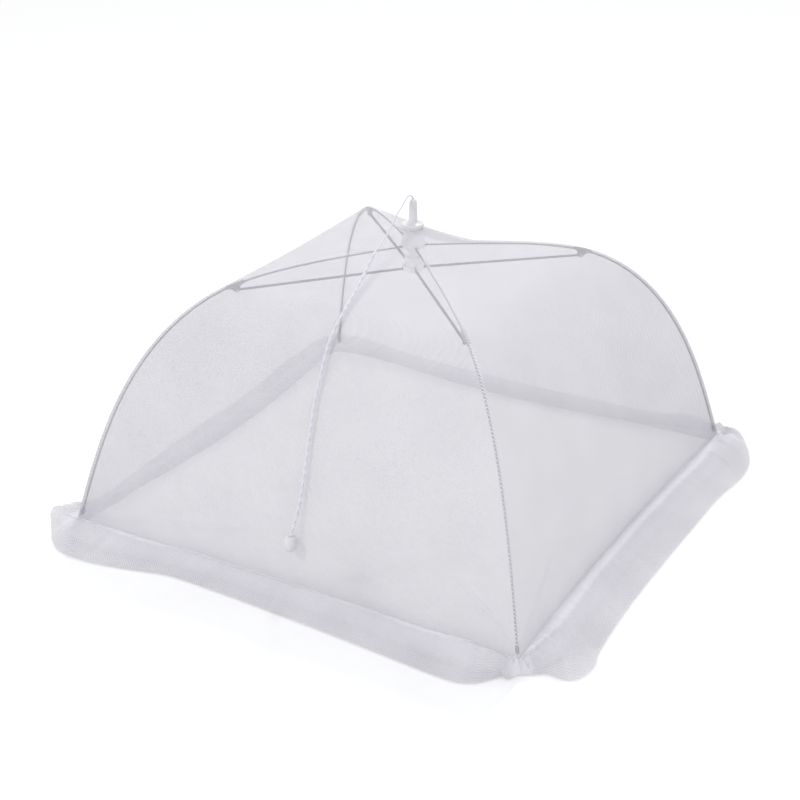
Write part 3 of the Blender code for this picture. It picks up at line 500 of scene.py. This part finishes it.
def netting_levels():
    """Each row's reach and height on the rib, and its reach and height at mid side."""
    lift = NET_LIFT * np.sqrt(1 + np.sin(rib_slope) ** 2)
    reaches = rib_reach + lift * np.sin(rib_slope)
    heights = rib_height + lift * np.cos(rib_slope)
    joint = [float(np.interp(RIB_INNER[0], rib_gone, column)) for column in (reaches, heights)]
    meeting = float(np.interp(NET_MEETS_RIB, reaches, heights))
    below = SEAM_BELOW_TIP / sin(RIB_OUTER[2])
    levels = []
    for share in np.linspace(0, 1, NET_ROWS_ON_INNER_ARC):
        reach = NET_APEX_REACH + (joint[0] - NET_APEX_REACH) * share
        on_rib = float(np.interp(reach, reaches, heights))
        near = (reach - NET_APEX_REACH) / (NET_MEETS_RIB - NET_APEX_REACH)
        if near < 1:
            on_rib = apex_height + (meeting - apex_height) * near
        levels.append((reach, on_rib, NET_APEX_REACH + (joint[0] / sqrt(2) - NET_APEX_REACH) * share,
                       apex_height + (joint[1] - apex_height) * share))
    for share in np.linspace(0, 1, NET_ROWS - NET_ROWS_ON_INNER_ARC + 1)[1:]:
        gone = RIB_INNER[0] + share * (RIB_OUTER[0] + below)
        past = max(0.0, gone - rib_length)
        reach = float(np.interp(gone, rib_gone, reaches)) + past * cos(RIB_OUTER[2])
        height = float(np.interp(gone, rib_gone, heights)) - past * sin(RIB_OUTER[2])
        ease = share**1.5
        levels.append((reach, height, reach / sqrt(2) - SEAM_SAG * ease, height - SEAM_DROP * ease))
    return levels


net_levels = netting_levels()
seam_reach, seam_height = net_levels[-1][:2]
net_columns = (*np.linspace(0, 0.94, NET_COLUMNS), *NET_SEAM_COLUMNS)


def crease(u, way, start, end, width):
    """1 on a straight crease between two (u, share of the way down) places, falling to 0 beside it."""
    (u0, v0), (u1, v1) = start, end
    length = hypot(u1 - u0, v1 - v0)
    along = ((u - u0) * (u1 - u0) + (way - v0) * (v1 - v0)) / length
    beside = abs((u - u0) * (v1 - v0) - (way - v0) * (u1 - u0)) / length
    if along < 0 or along > length:
        return 0.0
    return max(0.0, 1 - beside / width) * min(1.0, 4 * (1 - along / length), 12 * along / length + 0.3)


def corner_bearing(corner):
    """The direction of a corner from the middle of the cover."""
    return radians(-45 + 90 * CORNERS.index(corner))


def corner_beside(side, hand):
    """The corner at the end of a side, where hand is 1 towards the next corner round."""
    return CORNERS[(SIDES.index(side) + (0 if hand > 0 else 3)) % 4]


def finish_cloth(piece, material, folds_and_painted_light):
    """Gives a piece its tulle, and each of its points a fold value: the share to which it is folded double,
    which past 0.7 also paints its colour paler as painted light.
    """
    values = piece.data.attributes.new("fold", "FLOAT", "POINT")
    values.data.foreach_set("value", folds_and_painted_light)
    piece.data.materials.append(material)


def netting_half(side, hand):
    """Half a panel, from mid side to the rib on its hand, which is 1 towards the next corner round."""
    out = SIDE_OUT[side]
    to_rib = Vector((-out.y, out.x, 0)) * hand
    corner = corner_beside(side, hand)
    rows, coordinates, folds_and_painted_light = [], [], []
    down = 0.0
    for number, (reach, height, mid_reach, mid_height) in enumerate(net_levels):
        way = number / (len(net_levels) - 1)
        if number:
            down += hypot(mid_reach - net_levels[number - 1][2], mid_height - net_levels[number - 1][3])
        half = reach / sqrt(2)
        droop = SIDE_SLACK[side] * sin(pi * min(1.0, way / SLACK_ENDS) ** 0.62) ** 1.2
        row, line = [], []
        for u in net_columns:
            middle = 1 - u * u
            outward = half + (mid_reach - half) * middle
            z = height + (mid_height - height) * middle - droop * middle**1.5
            foot = max(0.0, 1 - (1 - way) / FOOT_SHARE)
            gather = GATHER_HEIGHT * foot**2 * sin(u * half * GATHER_WAVES + SIDES.index(side))
            gather *= min(1.0, u * 8)
            fold = crease(u, way, *CREASES[side, hand]) if (side, hand) in CREASES else 0.0
            swell = CREASE_HEIGHT * fold + gather * (1 - u**8)
            point = out * (outward + swell) + to_rib * (u * half) + Vector((0, 0, z + 0.4 * swell))
            row.append(point)
            line.append((u * half + 0.5 * SIDES.index(side), down))
            # A crease's fold value past 0.7 also paints the cloth paler there, a painted light.
            seam = SEAM_FOLD if (1 - u) * half < SEAM_WIDTH else 0.0
            folds_and_painted_light.append(seam or max(CREASE_FOLD * fold, FOOT_FOLD * max(0.0, foot - 0.75) / 0.25))
        rows.append(row)
        coordinates.append(line)
    name = f"{side}_netting_{corner.replace(side, '').strip('_')}"
    piece = laid_mesh(name, rows, coordinates)
    finish_cloth(piece, net_tulle, folds_and_painted_light)
    other = SIDES[(SIDES.index(side) + hand) % 4]
    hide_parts(f"{side}_panel_{other}")
    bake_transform(piece)


for side in SIDES:
    for hand in (-1, 1):
        netting_half(side, hand)


# Hem
# A tube of tulle with wider meshes, gathered round the foot of the netting and puffed with
# air. It bunches into lobes at the corners, is drawn into a knot at the front right one, and
# has its seam allowance folded flat along the netting as a stripe. The stripe, the knot and
# the underside near the seam are painted paler, as painted light.
HEM_WHITE, HEM_SHADE = (0.70, 0.685, 0.725), (0.64, 0.625, 0.665)
HEM_PITCH, HEM_THREAD, HEM_PASSES = 0.0015, 0.24, 0.55
# The hem's outer edge as seen from above: (along the side towards the next corner, out
# from the middle of the cover). Each list ends on the corner's diagonal.
HEM_OUTLINE = {
    "front": ((-0.2055, 0.2290), (-0.190, 0.2366), (-0.160, 0.2362), (-0.130, 0.2300), (-0.095, 0.2215),
              (-0.050, 0.2215), (0.0, 0.2238), (0.050, 0.2265), (0.100, 0.2300), (0.140, 0.2330),
              (0.166, 0.2335), (0.180, 0.2275), (0.1885, 0.2180), (0.1935, 0.2112), (0.1985, 0.2130),
              (0.2035, 0.2035)),
    "right": ((-0.1990, 0.2118), (-0.1935, 0.2205), (-0.1935, 0.2330), (-0.186, 0.2425), (-0.168, 0.2455),
              (-0.148, 0.2412), (-0.110, 0.2378), (-0.060, 0.2360), (0.0, 0.2359), (0.060, 0.2365),
              (0.111, 0.2375), (0.150, 0.2420), (0.176, 0.2408), (0.194, 0.2355), (0.2090, 0.2285),
              (0.2203, 0.2203)),
    "back": ((-0.213, 0.2235), (-0.200, 0.2265), (-0.178, 0.2300), (-0.150, 0.2325), (-0.110, 0.2325),
             (-0.060, 0.2315), (0.0, 0.2300), (0.060, 0.2310), (0.110, 0.2330), (0.150, 0.2370),
             (0.182, 0.2375), (0.203, 0.2310), (0.2175, 0.2175)),
    "left": ((-0.204, 0.2305), (-0.184, 0.2375), (-0.150, 0.2375), (-0.110, 0.2320), (-0.060, 0.2290),
             (0.0, 0.2290), (0.060, 0.2265), (0.100, 0.2240), (0.140, 0.2210), (0.170, 0.2200),
             (0.190, 0.2205), (0.2050, 0.2200), (0.2171, 0.2171)),
}
# At mid side: the crest's height, how far out it lies, and how busy the ripples are there
HEM_SIDE_CREST = 0.0125
HEM_SIDE_PEAK = 0.36
HEM_SIDE_BUSY = 0.30
# Each corner: height of the crest on the diagonal, how far out that crest lies, and the
# heights of the lobes before and after the corner
HEM_CORNERS = {"front_right": (0.0150, 0.66, 0.0190, 0.0190), "back_right": (0.0165, 0.60, 0.0190, 0.0190),
               "back_left": (0.0160, 0.70, 0.0175, 0.0175), "front_left": (0.0285, 0.88, 0.0150, 0.0215)}
# Where the rise to a corner, the lobe beside it and the knot begin: shares of the way from
# mid side to the corner. The knot is tied over the next small share.
CORNER_BEGINS, LOBE_BEGINS, KNOT_BEGINS, KNOT_SHARE = 0.70, 0.60, 0.93, 0.05
# Pleats that fan out from each rib tip, where the cloth is gathered: height and number
# round the tip. They die out at about PLEATS_END from it.
HEM_PLEATS = {"front_right": (0.0024, 9), "back_right": (0.0024, 11),
              "back_left": (0.0012, 13), "front_left": (0.0005, 11)}
PLEATS_END = 0.020
# Waves in the cloth along the hem: (height, waves round the whole hem, phase)
SLOW_WAVES = ((0.0010, 19, 0.5), (0.0008, 31, 2.0))
RIPPLES = ((0.0007, 97, 1.0), (0.0005, 163, 4.0), (0.0003, 271, 2.0))
KNOT_PLEATS = ((0.0030, 301, 0.3),)
# The welt of the seam: height, and its place and width in shares of the hem's own width
WELT_HEIGHT, WELT_PLACE, WELT_WIDTH = 0.0006, 0.15, 0.10
UNDERSIDE_HEIGHT, UNDERSIDE_BOW = 0.0006, 0.0003
HEM_EDGE_HEIGHT = 0.0012
HEM_STATIONS = 170
HEM_TOP = 26
HEM_BOTTOM = 8


def hem_edge():
    """The closed outer edge as a fine curve, its length so far, and where each half begins and ends."""
    spots, marks = [], {}
    for side in SIDES:
        out = SIDE_OUT[side]
        along = Vector((-out.y, out.x, 0))
        for a, b in HEM_OUTLINE[side]:
            if a == 0.0:
                marks[side] = len(spots)
            spots.append(out * b + along * a)
        marks[CORNERS[SIDES.index(side)]] = len(spots) - 1
    count = len(spots)
    fine = []
    for k in range(count + 1):
        four = [np.array(spots[(k + step) % count]) for step in (-1, 0, 1, 2)]
        fine += [between(*four, t) for t in np.linspace(0, 1, CURVE_STEPS, endpoint=False)]
    fine = np.array(fine[:CURVE_STEPS * count + 1])
    return fine, length_so_far(fine), {name: CURVE_STEPS * place for name, place in marks.items()}


edge_points, edge_gone, edge_marks = hem_edge()
edge_length = edge_gone[-1]
hem_tulle = tulle("hem_tulle", HEM_WHITE, HEM_SHADE, HEM_PITCH, HEM_THREAD, HEM_PASSES)


def smooth_step(value):
    """0 below 0, 1 above 1, and a smooth rise in between."""
    value = min(1.0, max(0.0, value))
    return value * value * (3 - 2 * value)


def waves(gone, *parts):
    """A sum of (height, waves round the whole hem, phase) sines, so that the hem closes on itself."""
    return sum(height * sin(2 * pi * number * gone / edge_length + phase) for height, number, phase in parts)


def hem_half(side, hand):
    """Half a side's hem, from mid side round to the corner's diagonal."""
    out = SIDE_OUT[side]
    to_rib = Vector((-out.y, out.x, 0)) * hand
    corner = corner_beside(side, hand)
    begin, end = edge_gone[edge_marks[side]], edge_gone[edge_marks[corner]]
    if hand < 0 and end > begin:
        begin += edge_length
    half = seam_reach / sqrt(2)
    corner_crest, corner_peak, *lobe_crests = HEM_CORNERS[corner]
    lobe_crest = lobe_crests[hand < 0]
    tip = (out + to_rib) * half
    pleat_height, pleat_count = HEM_PLEATS[corner]
    rows, coordinates, folds_and_painted_light = [], [], []
    for share in np.linspace(0, 1, HEM_STATIONS):
        gone = begin + (end - begin) * share
        place = [float(np.interp(gone % edge_length, edge_gone, edge_points[:, axis])) for axis in range(2)]
        outer = Vector((*place, 0.0))
        inner = out * (half - SEAM_SAG * (1 - share**2)) + to_rib * (share * half)
        seam = seam_height - SEAM_DROP * (1 - share**2)
        to_corner = smooth_step((share - CORNER_BEGINS) / (1 - CORNER_BEGINS))
        lobe = sin(pi * min(1.0, max(0.0, (share - LOBE_BEGINS) / (1 - LOBE_BEGINS)))) ** 2
        crest = HEM_SIDE_CREST + (corner_crest - HEM_SIDE_CREST) * to_corner
        crest += (lobe_crest - (HEM_SIDE_CREST + corner_crest) / 2) * lobe
        busy = HEM_SIDE_BUSY + (1 - HEM_SIDE_BUSY) * max(to_corner, lobe)
        peak = HEM_SIDE_PEAK + (corner_peak - HEM_SIDE_PEAK) * to_corner
        knot = smooth_step((share - KNOT_BEGINS) / KNOT_SHARE) * (corner == "front_right")
        slow = waves(gone, *SLOW_WAVES)
        row, line = [], []
        for step in range(HEM_TOP + HEM_BOTTOM):
            way = step / HEM_TOP if step <= HEM_TOP else 1 - 0.75 * (step - HEM_TOP) / HEM_BOTTOM
            place = inner + (outer - inner) * way
            if step > HEM_TOP:
                place.z = UNDERSIDE_HEIGHT - UNDERSIDE_BOW * sin(pi * way)
                # Painted light: the underside near the seam gets a fold value that paints it paler, against
                # the shade under the hem.
                folds_and_painted_light.append(1.5 * smooth_step((0.62 - way) / 0.25))
            else:
                outer_side = ((1 - way) / (1 - peak)) ** (1.25 * (1 - peak) / peak)
                swell = (way / peak) ** 1.25 * outer_side
                slant = gone + 0.006 * way
                ripple = waves(slant, *RIPPLES) * busy
                pleat = waves(gone - 0.004 * way, *KNOT_PLEATS) * knot
                away = hypot(place.x - tip.x, place.y - tip.y)
                fan = sin(pleat_count * np.arctan2(place.y - tip.y, place.x - tip.x) + 60 * away)
                fan *= pleat_height * min(1.0, away / 0.005) * np.exp(-(away / PLEATS_END) ** 2)
                welt = WELT_HEIGHT * np.exp(-((way - WELT_PLACE) / WELT_WIDTH) ** 2)
                place.z = seam * (1 - way) ** 1.4 + HEM_EDGE_HEIGHT * way + welt
                place.z += (crest - 0.45 * seam + slow * busy + ripple + pleat) * swell
                place.z = max(HEM_EDGE_HEIGHT, place.z + fan * min(1.0, 6 * way * (1 - way)))
                # The seam stripe and the knot are cloth folded double, with wider threads, and their colour
                # is also painted paler as painted light.
                stripe = 1.5 * smooth_step((0.40 - way) / 0.15) * (0.8 + 0.2 * smooth_step(way / 0.10))
                folds_and_painted_light.append(max(stripe, 1.6 * knot, 0.35 * (ripple < -0.0005)))
            around = line[-1][1] + (place - row[-1]).length if row else 0.0
            row.append(place)
            line.append((gone, around))
        rows.append(row)
        coordinates.append(line + [(gone, around + (row[-1] - row[0]).length)])
    name = f"{side}_hem_{corner.replace(side, '').strip('_')}"
    piece = laid_mesh(name, rows, coordinates, True, crisp=(0, HEM_TOP))
    finish_cloth(piece, hem_tulle, folds_and_painted_light)
    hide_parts(f"{corner}_hem")
    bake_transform(piece)


for side in SIDES:
    for hand in (-1, 1):
        hem_half(side, hand)


# Ribs, brackets and tips
# Spring wire with a rounded cap on its end, and on each rib a clip folded from sheet and
# crimped on. All are steel, drawn or pressed and then enamelled black.
WIRE_BLACK = (0.105, 0.105, 0.113)
WIRE_ROUGHNESS = 0.30


def enamel(name, colour, roughness):
    """Thin enamel on drawn steel, worn a little along its length."""
    material, tree, shader = new_material(name)
    wear = speckle(tree, 420.0, 4.0)
    worn = [min(1.0, part * 2.2 + 0.01) for part in colour]
    feed(tree, shader, {
        "Base Color": shaded(tree, wear, (0.45, colour), (0.75, worn)),
        "Roughness": spread(tree, wear, (0.0, roughness), (1.0, roughness + 0.15)),
        "Normal": raised(tree, wear, 0.15, 0.0001), "Metallic": 0.9})
    return material


wire_enamel = enamel("wire_enamel", WIRE_BLACK, WIRE_ROUGHNESS)
for corner in CORNERS:
    for kind in ("rib", "rib_bracket", "rib_tip"):
        repaint(f"{corner}_{kind}", wire_enamel)


# Pins and rivets
# Bright turned steel. Pins carry the ribs in the crown and the stretchers in the runner, and
# rivets join stretcher and bracket. The crown's pins are riveted over on its skirt.
PIN_BRIGHT = (0.62, 0.62, 0.64, 1)
PIN_HEAD_RADIUS = 0.0009
PIN_HEAD_THICK = 0.0010
PIN_HEAD_ROUNDING = 0.0004
PIN_HEAD_REACH = 0.0072
PIN_HEAD_ASIDE = 0.0062


def bright_steel(name):
    """Turned steel with fine scratches in its polish."""
    material, tree, shader = new_material(name)
    roughness = spread(tree, speckle(tree, 900.0), (0.0, 0.22), (1.0, 0.42))
    feed(tree, shader, {"Roughness": roughness, "Base Color": PIN_BRIGHT, "Metallic": 1.0})
    return material


turned_steel = bright_steel("turned_steel")
for corner in CORNERS:
    for kind in ("crown_pin", "bracket_rivet", "runner_pin"):
        repaint(f"{corner}_{kind}", turned_steel)
bpy.ops.object.select_all(action="DESELECT")
bpy.ops.mesh.primitive_cylinder_add(vertices=24, radius=PIN_HEAD_RADIUS, depth=PIN_HEAD_THICK,
                                    location=(PIN_HEAD_REACH, PIN_HEAD_ASIDE, rib_height[0]),
                                    rotation=(radians(-90), 0, 0))
head = bpy.context.object
bpy.ops.object.transform_apply(location=True, rotation=True, scale=True)
dome_edge = head.modifiers.new("dome", "BEVEL")
dome_edge.width = PIN_HEAD_ROUNDING
dome_edge.segments = 4
dome_edge.limit_method = "ANGLE"
bpy.ops.object.modifier_apply(modifier="dome")
bpy.ops.object.shade_smooth_by_angle(angle=radians(40))
head.data.materials.append(turned_steel)
for corner in CORNERS:
    for hand in (-1, 1):
        piece = head.copy()
        piece.data = head.data.copy()
        piece.name = f"{corner}_pin_head_{'before' if hand < 0 else 'after'}"
        bpy.context.scene.collection.objects.link(piece)
        if hand < 0:
            piece.data.transform(Matrix.Scale(-1, 4, (0, 1, 0)))
            piece.data.flip_normals()
        piece.data.transform(Matrix.Rotation(corner_bearing(corner), 4, "Z"))
        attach(piece, "crown")
bpy.data.objects.remove(head)


# Crown, runner and bead
# Milky polypropylene mouldings. The crown holds the ribs at the top, the runner slides on
# its stem, and the bead on the cord's end is a greyer, glossier one.
# The crown and runner's white is partly their own milky white and partly painted light, raised to make up for
# the shade that the netting casts on them.
CROWN_WHITE_AND_PAINTED_LIGHT, CROWN_ROUGHNESS = (0.95, 0.94, 0.96), 0.38
BEAD_GREY, BEAD_ROUGHNESS = (0.70, 0.69, 0.71), 0.26


def milky(name, colour, roughness):
    """Polypropylene that light goes a little way into."""
    material, tree, shader = new_material(name)
    haze = speckle(tree, 160.0, 3.0)
    feed(tree, shader, {
        "Base Color": shaded(tree, haze, (0.35, [part * 0.93 for part in colour]), (0.65, colour)),
        "Roughness": spread(tree, haze, (0.0, roughness - 0.05), (1.0, roughness + 0.08)),
        "Normal": raised(tree, haze, 0.1, 0.0002), "Subsurface Weight": 0.25,
        "Subsurface Radius": (0.004, 0.004, 0.004), "Subsurface Scale": 1.0})
    return material


milky_moulding_painted_light = milky("milky_moulding_painted_light", CROWN_WHITE_AND_PAINTED_LIGHT, CROWN_ROUGHNESS)
for node in ("crown", "runner"):
    repaint(node, milky_moulding_painted_light)
repaint("pull_bead", milky("bead_moulding", BEAD_GREY, BEAD_ROUGHNESS))


# Top cap
# One moulding: a flange that clamps the netting down on the crown, and a blunt tapered
# post with a hole down its middle, where the cord comes out.
CAP_FLANGE_RADIUS = 0.00875
CAP_FLANGE_THICK = 0.0030
CAP_POST_TALL = 0.0200
CAP_HOLE_RADIUS = 0.0010
CAP_HOLE_DEEP = 0.0080
POST_GREY = (0.70, 0.69, 0.71)
CAP_ROUNDING = 0.0007
# The flange's top edge, and up from it the foot, sides and blunt end of the post: each
# step's rise and the radius that it ends at
CAP_SHOULDER_RADIUS = 0.0066
CAP_STEPS = ((0.0007, 0.0052), (0.0006, 0.0041), (0.0012, 0.0037), (0.0060, 0.00355), (0.0060, 0.0033),
             (0.0030, 0.0031), (0.0013, 0.0027), (0.0008, 0.0021), (0.0004, 0.0014))


def top_face_only(piece):
    """Selects a mesh's highest face in edit mode."""
    bm = bmesh.from_edit_mesh(piece.data)
    for part in (*bm.verts, *bm.edges, *bm.faces):
        part.select_set(False)
    max(bm.faces, key=lambda face: face.calc_center_median().z).select_set(True)
    bm.select_flush_mode()
    bmesh.update_edit_mesh(piece.data)


bpy.ops.object.select_all(action="DESELECT")
flange_foot = cap_high.z - CAP_POST_TALL - CAP_FLANGE_THICK
bpy.ops.mesh.primitive_cylinder_add(vertices=64, radius=CAP_FLANGE_RADIUS, depth=CAP_FLANGE_THICK,
                                    location=(0, 0, flange_foot + CAP_FLANGE_THICK / 2))
cap = bpy.context.object
cap.name = "top_cap_moulded"
bpy.ops.object.transform_apply(location=True, rotation=True, scale=True)
bpy.ops.object.mode_set(mode="EDIT")
top_face_only(cap)
bpy.ops.mesh.inset(thickness=CAP_FLANGE_RADIUS - CAP_SHOULDER_RADIUS)
width = CAP_SHOULDER_RADIUS
for rise, next_width in CAP_STEPS:
    bpy.ops.mesh.extrude_region_move(TRANSFORM_OT_translate={"value": (0, 0, rise)})
    bpy.ops.transform.resize(value=(next_width / width, next_width / width, 1))
    width = next_width
bpy.ops.mesh.inset(thickness=width - CAP_HOLE_RADIUS)
bpy.ops.mesh.extrude_region_move(TRANSFORM_OT_translate={"value": (0, 0, -CAP_HOLE_DEEP)})
bpy.ops.object.mode_set(mode="OBJECT")
rounding = cap.modifiers.new("rounding", "BEVEL")
rounding.width = CAP_ROUNDING
rounding.segments = 4
rounding.limit_method = "ANGLE"
rounding.angle_limit = radians(50)
bpy.ops.object.modifier_apply(modifier="rounding")
bpy.ops.object.shade_smooth_by_angle(angle=radians(35))
cap.data.materials.append(milky("post_moulding", POST_GREY, CROWN_ROUGHNESS))
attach(cap, "crown")
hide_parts("top_cap")


# Stretchers
# Narrow channels folded from black strip, with a flat round eye at each end. One is made
# along X, laid in place towards the front right, and turned round for the other three.
STRETCHER_INNER = (0.0074, 0.202795)
STRETCHER_OUTER = (0.144512, 0.199046)
STRETCHER_LENGTH = hypot(STRETCHER_OUTER[0] - STRETCHER_INNER[0], STRETCHER_OUTER[1] - STRETCHER_INNER[1])
STRETCHER_WIDE = 0.0018
STRETCHER_DEEP = 0.0016
STRETCHER_SHEET = 0.00045
EYE_RADIUS = 0.0021
EYE_THICK = 0.0009
# The neck between the channel and each eye: how far from the eye, length and width
NECK_FROM_EYE, NECK_LONG, NECK_WIDE = 0.0034, 0.0040, 0.0020
CHANNEL_SHORTER = 0.0105
CHANNEL_ROUNDING = 0.00022
CHANNEL_BLACK = (0.075, 0.075, 0.082)
CHANNEL_ROUGHNESS = 0.34

bpy.ops.object.select_all(action="DESELECT")
parts = []
bpy.ops.mesh.primitive_cube_add(size=1, location=(0, 0, 0),
                                scale=(STRETCHER_LENGTH - CHANNEL_SHORTER, STRETCHER_WIDE, STRETCHER_DEEP))
channel = bpy.context.object
bpy.ops.object.transform_apply(location=True, rotation=True, scale=True)
bpy.ops.object.mode_set(mode="EDIT")
top_face_only(channel)
bpy.ops.mesh.inset(thickness=STRETCHER_SHEET)
bpy.ops.mesh.extrude_region_move(TRANSFORM_OT_translate={"value": (0, 0, STRETCHER_SHEET - STRETCHER_DEEP)})
bpy.ops.object.mode_set(mode="OBJECT")
parts.append(channel)
for hand in (-1, 1):
    bpy.ops.object.select_all(action="DESELECT")
    bpy.ops.mesh.primitive_cube_add(size=1, location=(hand * (STRETCHER_LENGTH / 2 - NECK_FROM_EYE), 0, 0),
                                    scale=(NECK_LONG, EYE_THICK, NECK_WIDE))
    parts.append(bpy.context.object)
    bpy.ops.mesh.primitive_cylinder_add(vertices=32, radius=EYE_RADIUS, depth=EYE_THICK,
                                        location=(hand * STRETCHER_LENGTH / 2, 0, 0),
                                        rotation=(radians(90), 0, 0))
    parts.append(bpy.context.object)
for part in parts:
    part.select_set(True)
bpy.context.view_layer.objects.active = channel
bpy.ops.object.join()
edges = channel.modifiers.new("edges", "BEVEL")
edges.width = CHANNEL_ROUNDING
edges.segments = 2
edges.limit_method = "ANGLE"
edges.angle_limit = radians(40)
bpy.ops.object.modifier_apply(modifier="edges")
bpy.ops.object.shade_smooth_by_angle(angle=radians(35))
channel.data.materials.append(enamel("channel_enamel", CHANNEL_BLACK, CHANNEL_ROUGHNESS))
tilt = atan((STRETCHER_INNER[1] - STRETCHER_OUTER[1]) / (STRETCHER_OUTER[0] - STRETCHER_INNER[0]))
middle = Matrix.Translation(((STRETCHER_INNER[0] + STRETCHER_OUTER[0]) / 2, 0,
                             (STRETCHER_INNER[1] + STRETCHER_OUTER[1]) / 2))
for corner in CORNERS:
    piece = channel.copy()
    piece.data = channel.data.copy()
    piece.name = f"{corner}_stretcher_folded"
    bpy.context.scene.collection.objects.link(piece)
    turned = Matrix.Rotation(corner_bearing(corner), 4, "Z") @ middle
    piece.data.transform(turned @ Matrix.Rotation(tilt, 4, "Y"))
    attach(piece, f"{corner}_stretcher")
    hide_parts(f"{corner}_stretcher")
bpy.data.objects.remove(channel)


# Seam stitches
# Whip stitches of white thread that bind the netting's seam to each rib, a slanted one
# every few millimetres.
STITCH_PITCH = 0.0030
STITCH_LENGTH = 0.0030
STITCH_THICK = 0.00085
STITCH_WHITE = (0.80, 0.78, 0.84)
STITCH_LIFT = 0.0019
# The stitches start past the crown and stop short of the tip: metres along the rib
STITCHES_START, STITCHES_SHORT = 0.030, 0.004
# Degrees that a stitch lies across the rib, how much that varies, and how fast
STITCH_SLANT, SLANT_VARIES, SLANT_TURNS = 42, 9, 2.3

bpy.ops.object.select_all(action="DESELECT")
bpy.ops.mesh.primitive_cube_add(size=1, location=(0, 0, 0), scale=(STITCH_LENGTH, STITCH_THICK, STITCH_THICK))
stitch = bpy.context.object
bpy.ops.object.transform_apply(location=True, rotation=True, scale=True)
bpy.ops.object.mode_set(mode="EDIT")
bpy.ops.mesh.select_all(action="SELECT")
bpy.ops.mesh.bevel(offset=STITCH_THICK * 0.3, segments=1, affect="EDGES")
bpy.ops.object.mode_set(mode="OBJECT")
thread_cotton = cotton("thread_cotton", STITCH_WHITE)
for corner in CORNERS:
    bearing = Matrix.Rotation(corner_bearing(corner), 4, "Z")
    bm = bmesh.new()
    for count, gone in enumerate(np.arange(STITCHES_START, rib_length - STITCHES_SHORT, STITCH_PITCH)):
        slope = float(np.interp(gone, rib_gone, rib_slope))
        spot = Vector((float(np.interp(gone, rib_gone, rib_reach)) + STITCH_LIFT * sin(slope), 0.0,
                       float(np.interp(gone, rib_gone, rib_height)) + STITCH_LIFT * cos(slope)))
        slant = radians(STITCH_SLANT + SLANT_VARIES * sin(count * SLANT_TURNS))
        lie = Matrix.Rotation(slope, 4, "Y") @ Matrix.Rotation(slant, 4, "Z")
        old = len(bm.verts)
        bm.from_mesh(stitch.data)
        bm.verts.ensure_lookup_table()
        bmesh.ops.transform(bm, matrix=bearing @ Matrix.Translation(spot) @ lie, verts=bm.verts[old:])
    data = bpy.data.meshes.new(f"{corner}_seam_stitches")
    bm.to_mesh(data)
    bm.free()
    piece = bpy.data.objects.new(f"{corner}_seam_stitches", data)
    bpy.context.scene.collection.objects.link(piece)
    piece.data.materials.append(thread_cotton)
    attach(piece, f"{corner}_rib")
bpy.data.objects.remove(stitch)
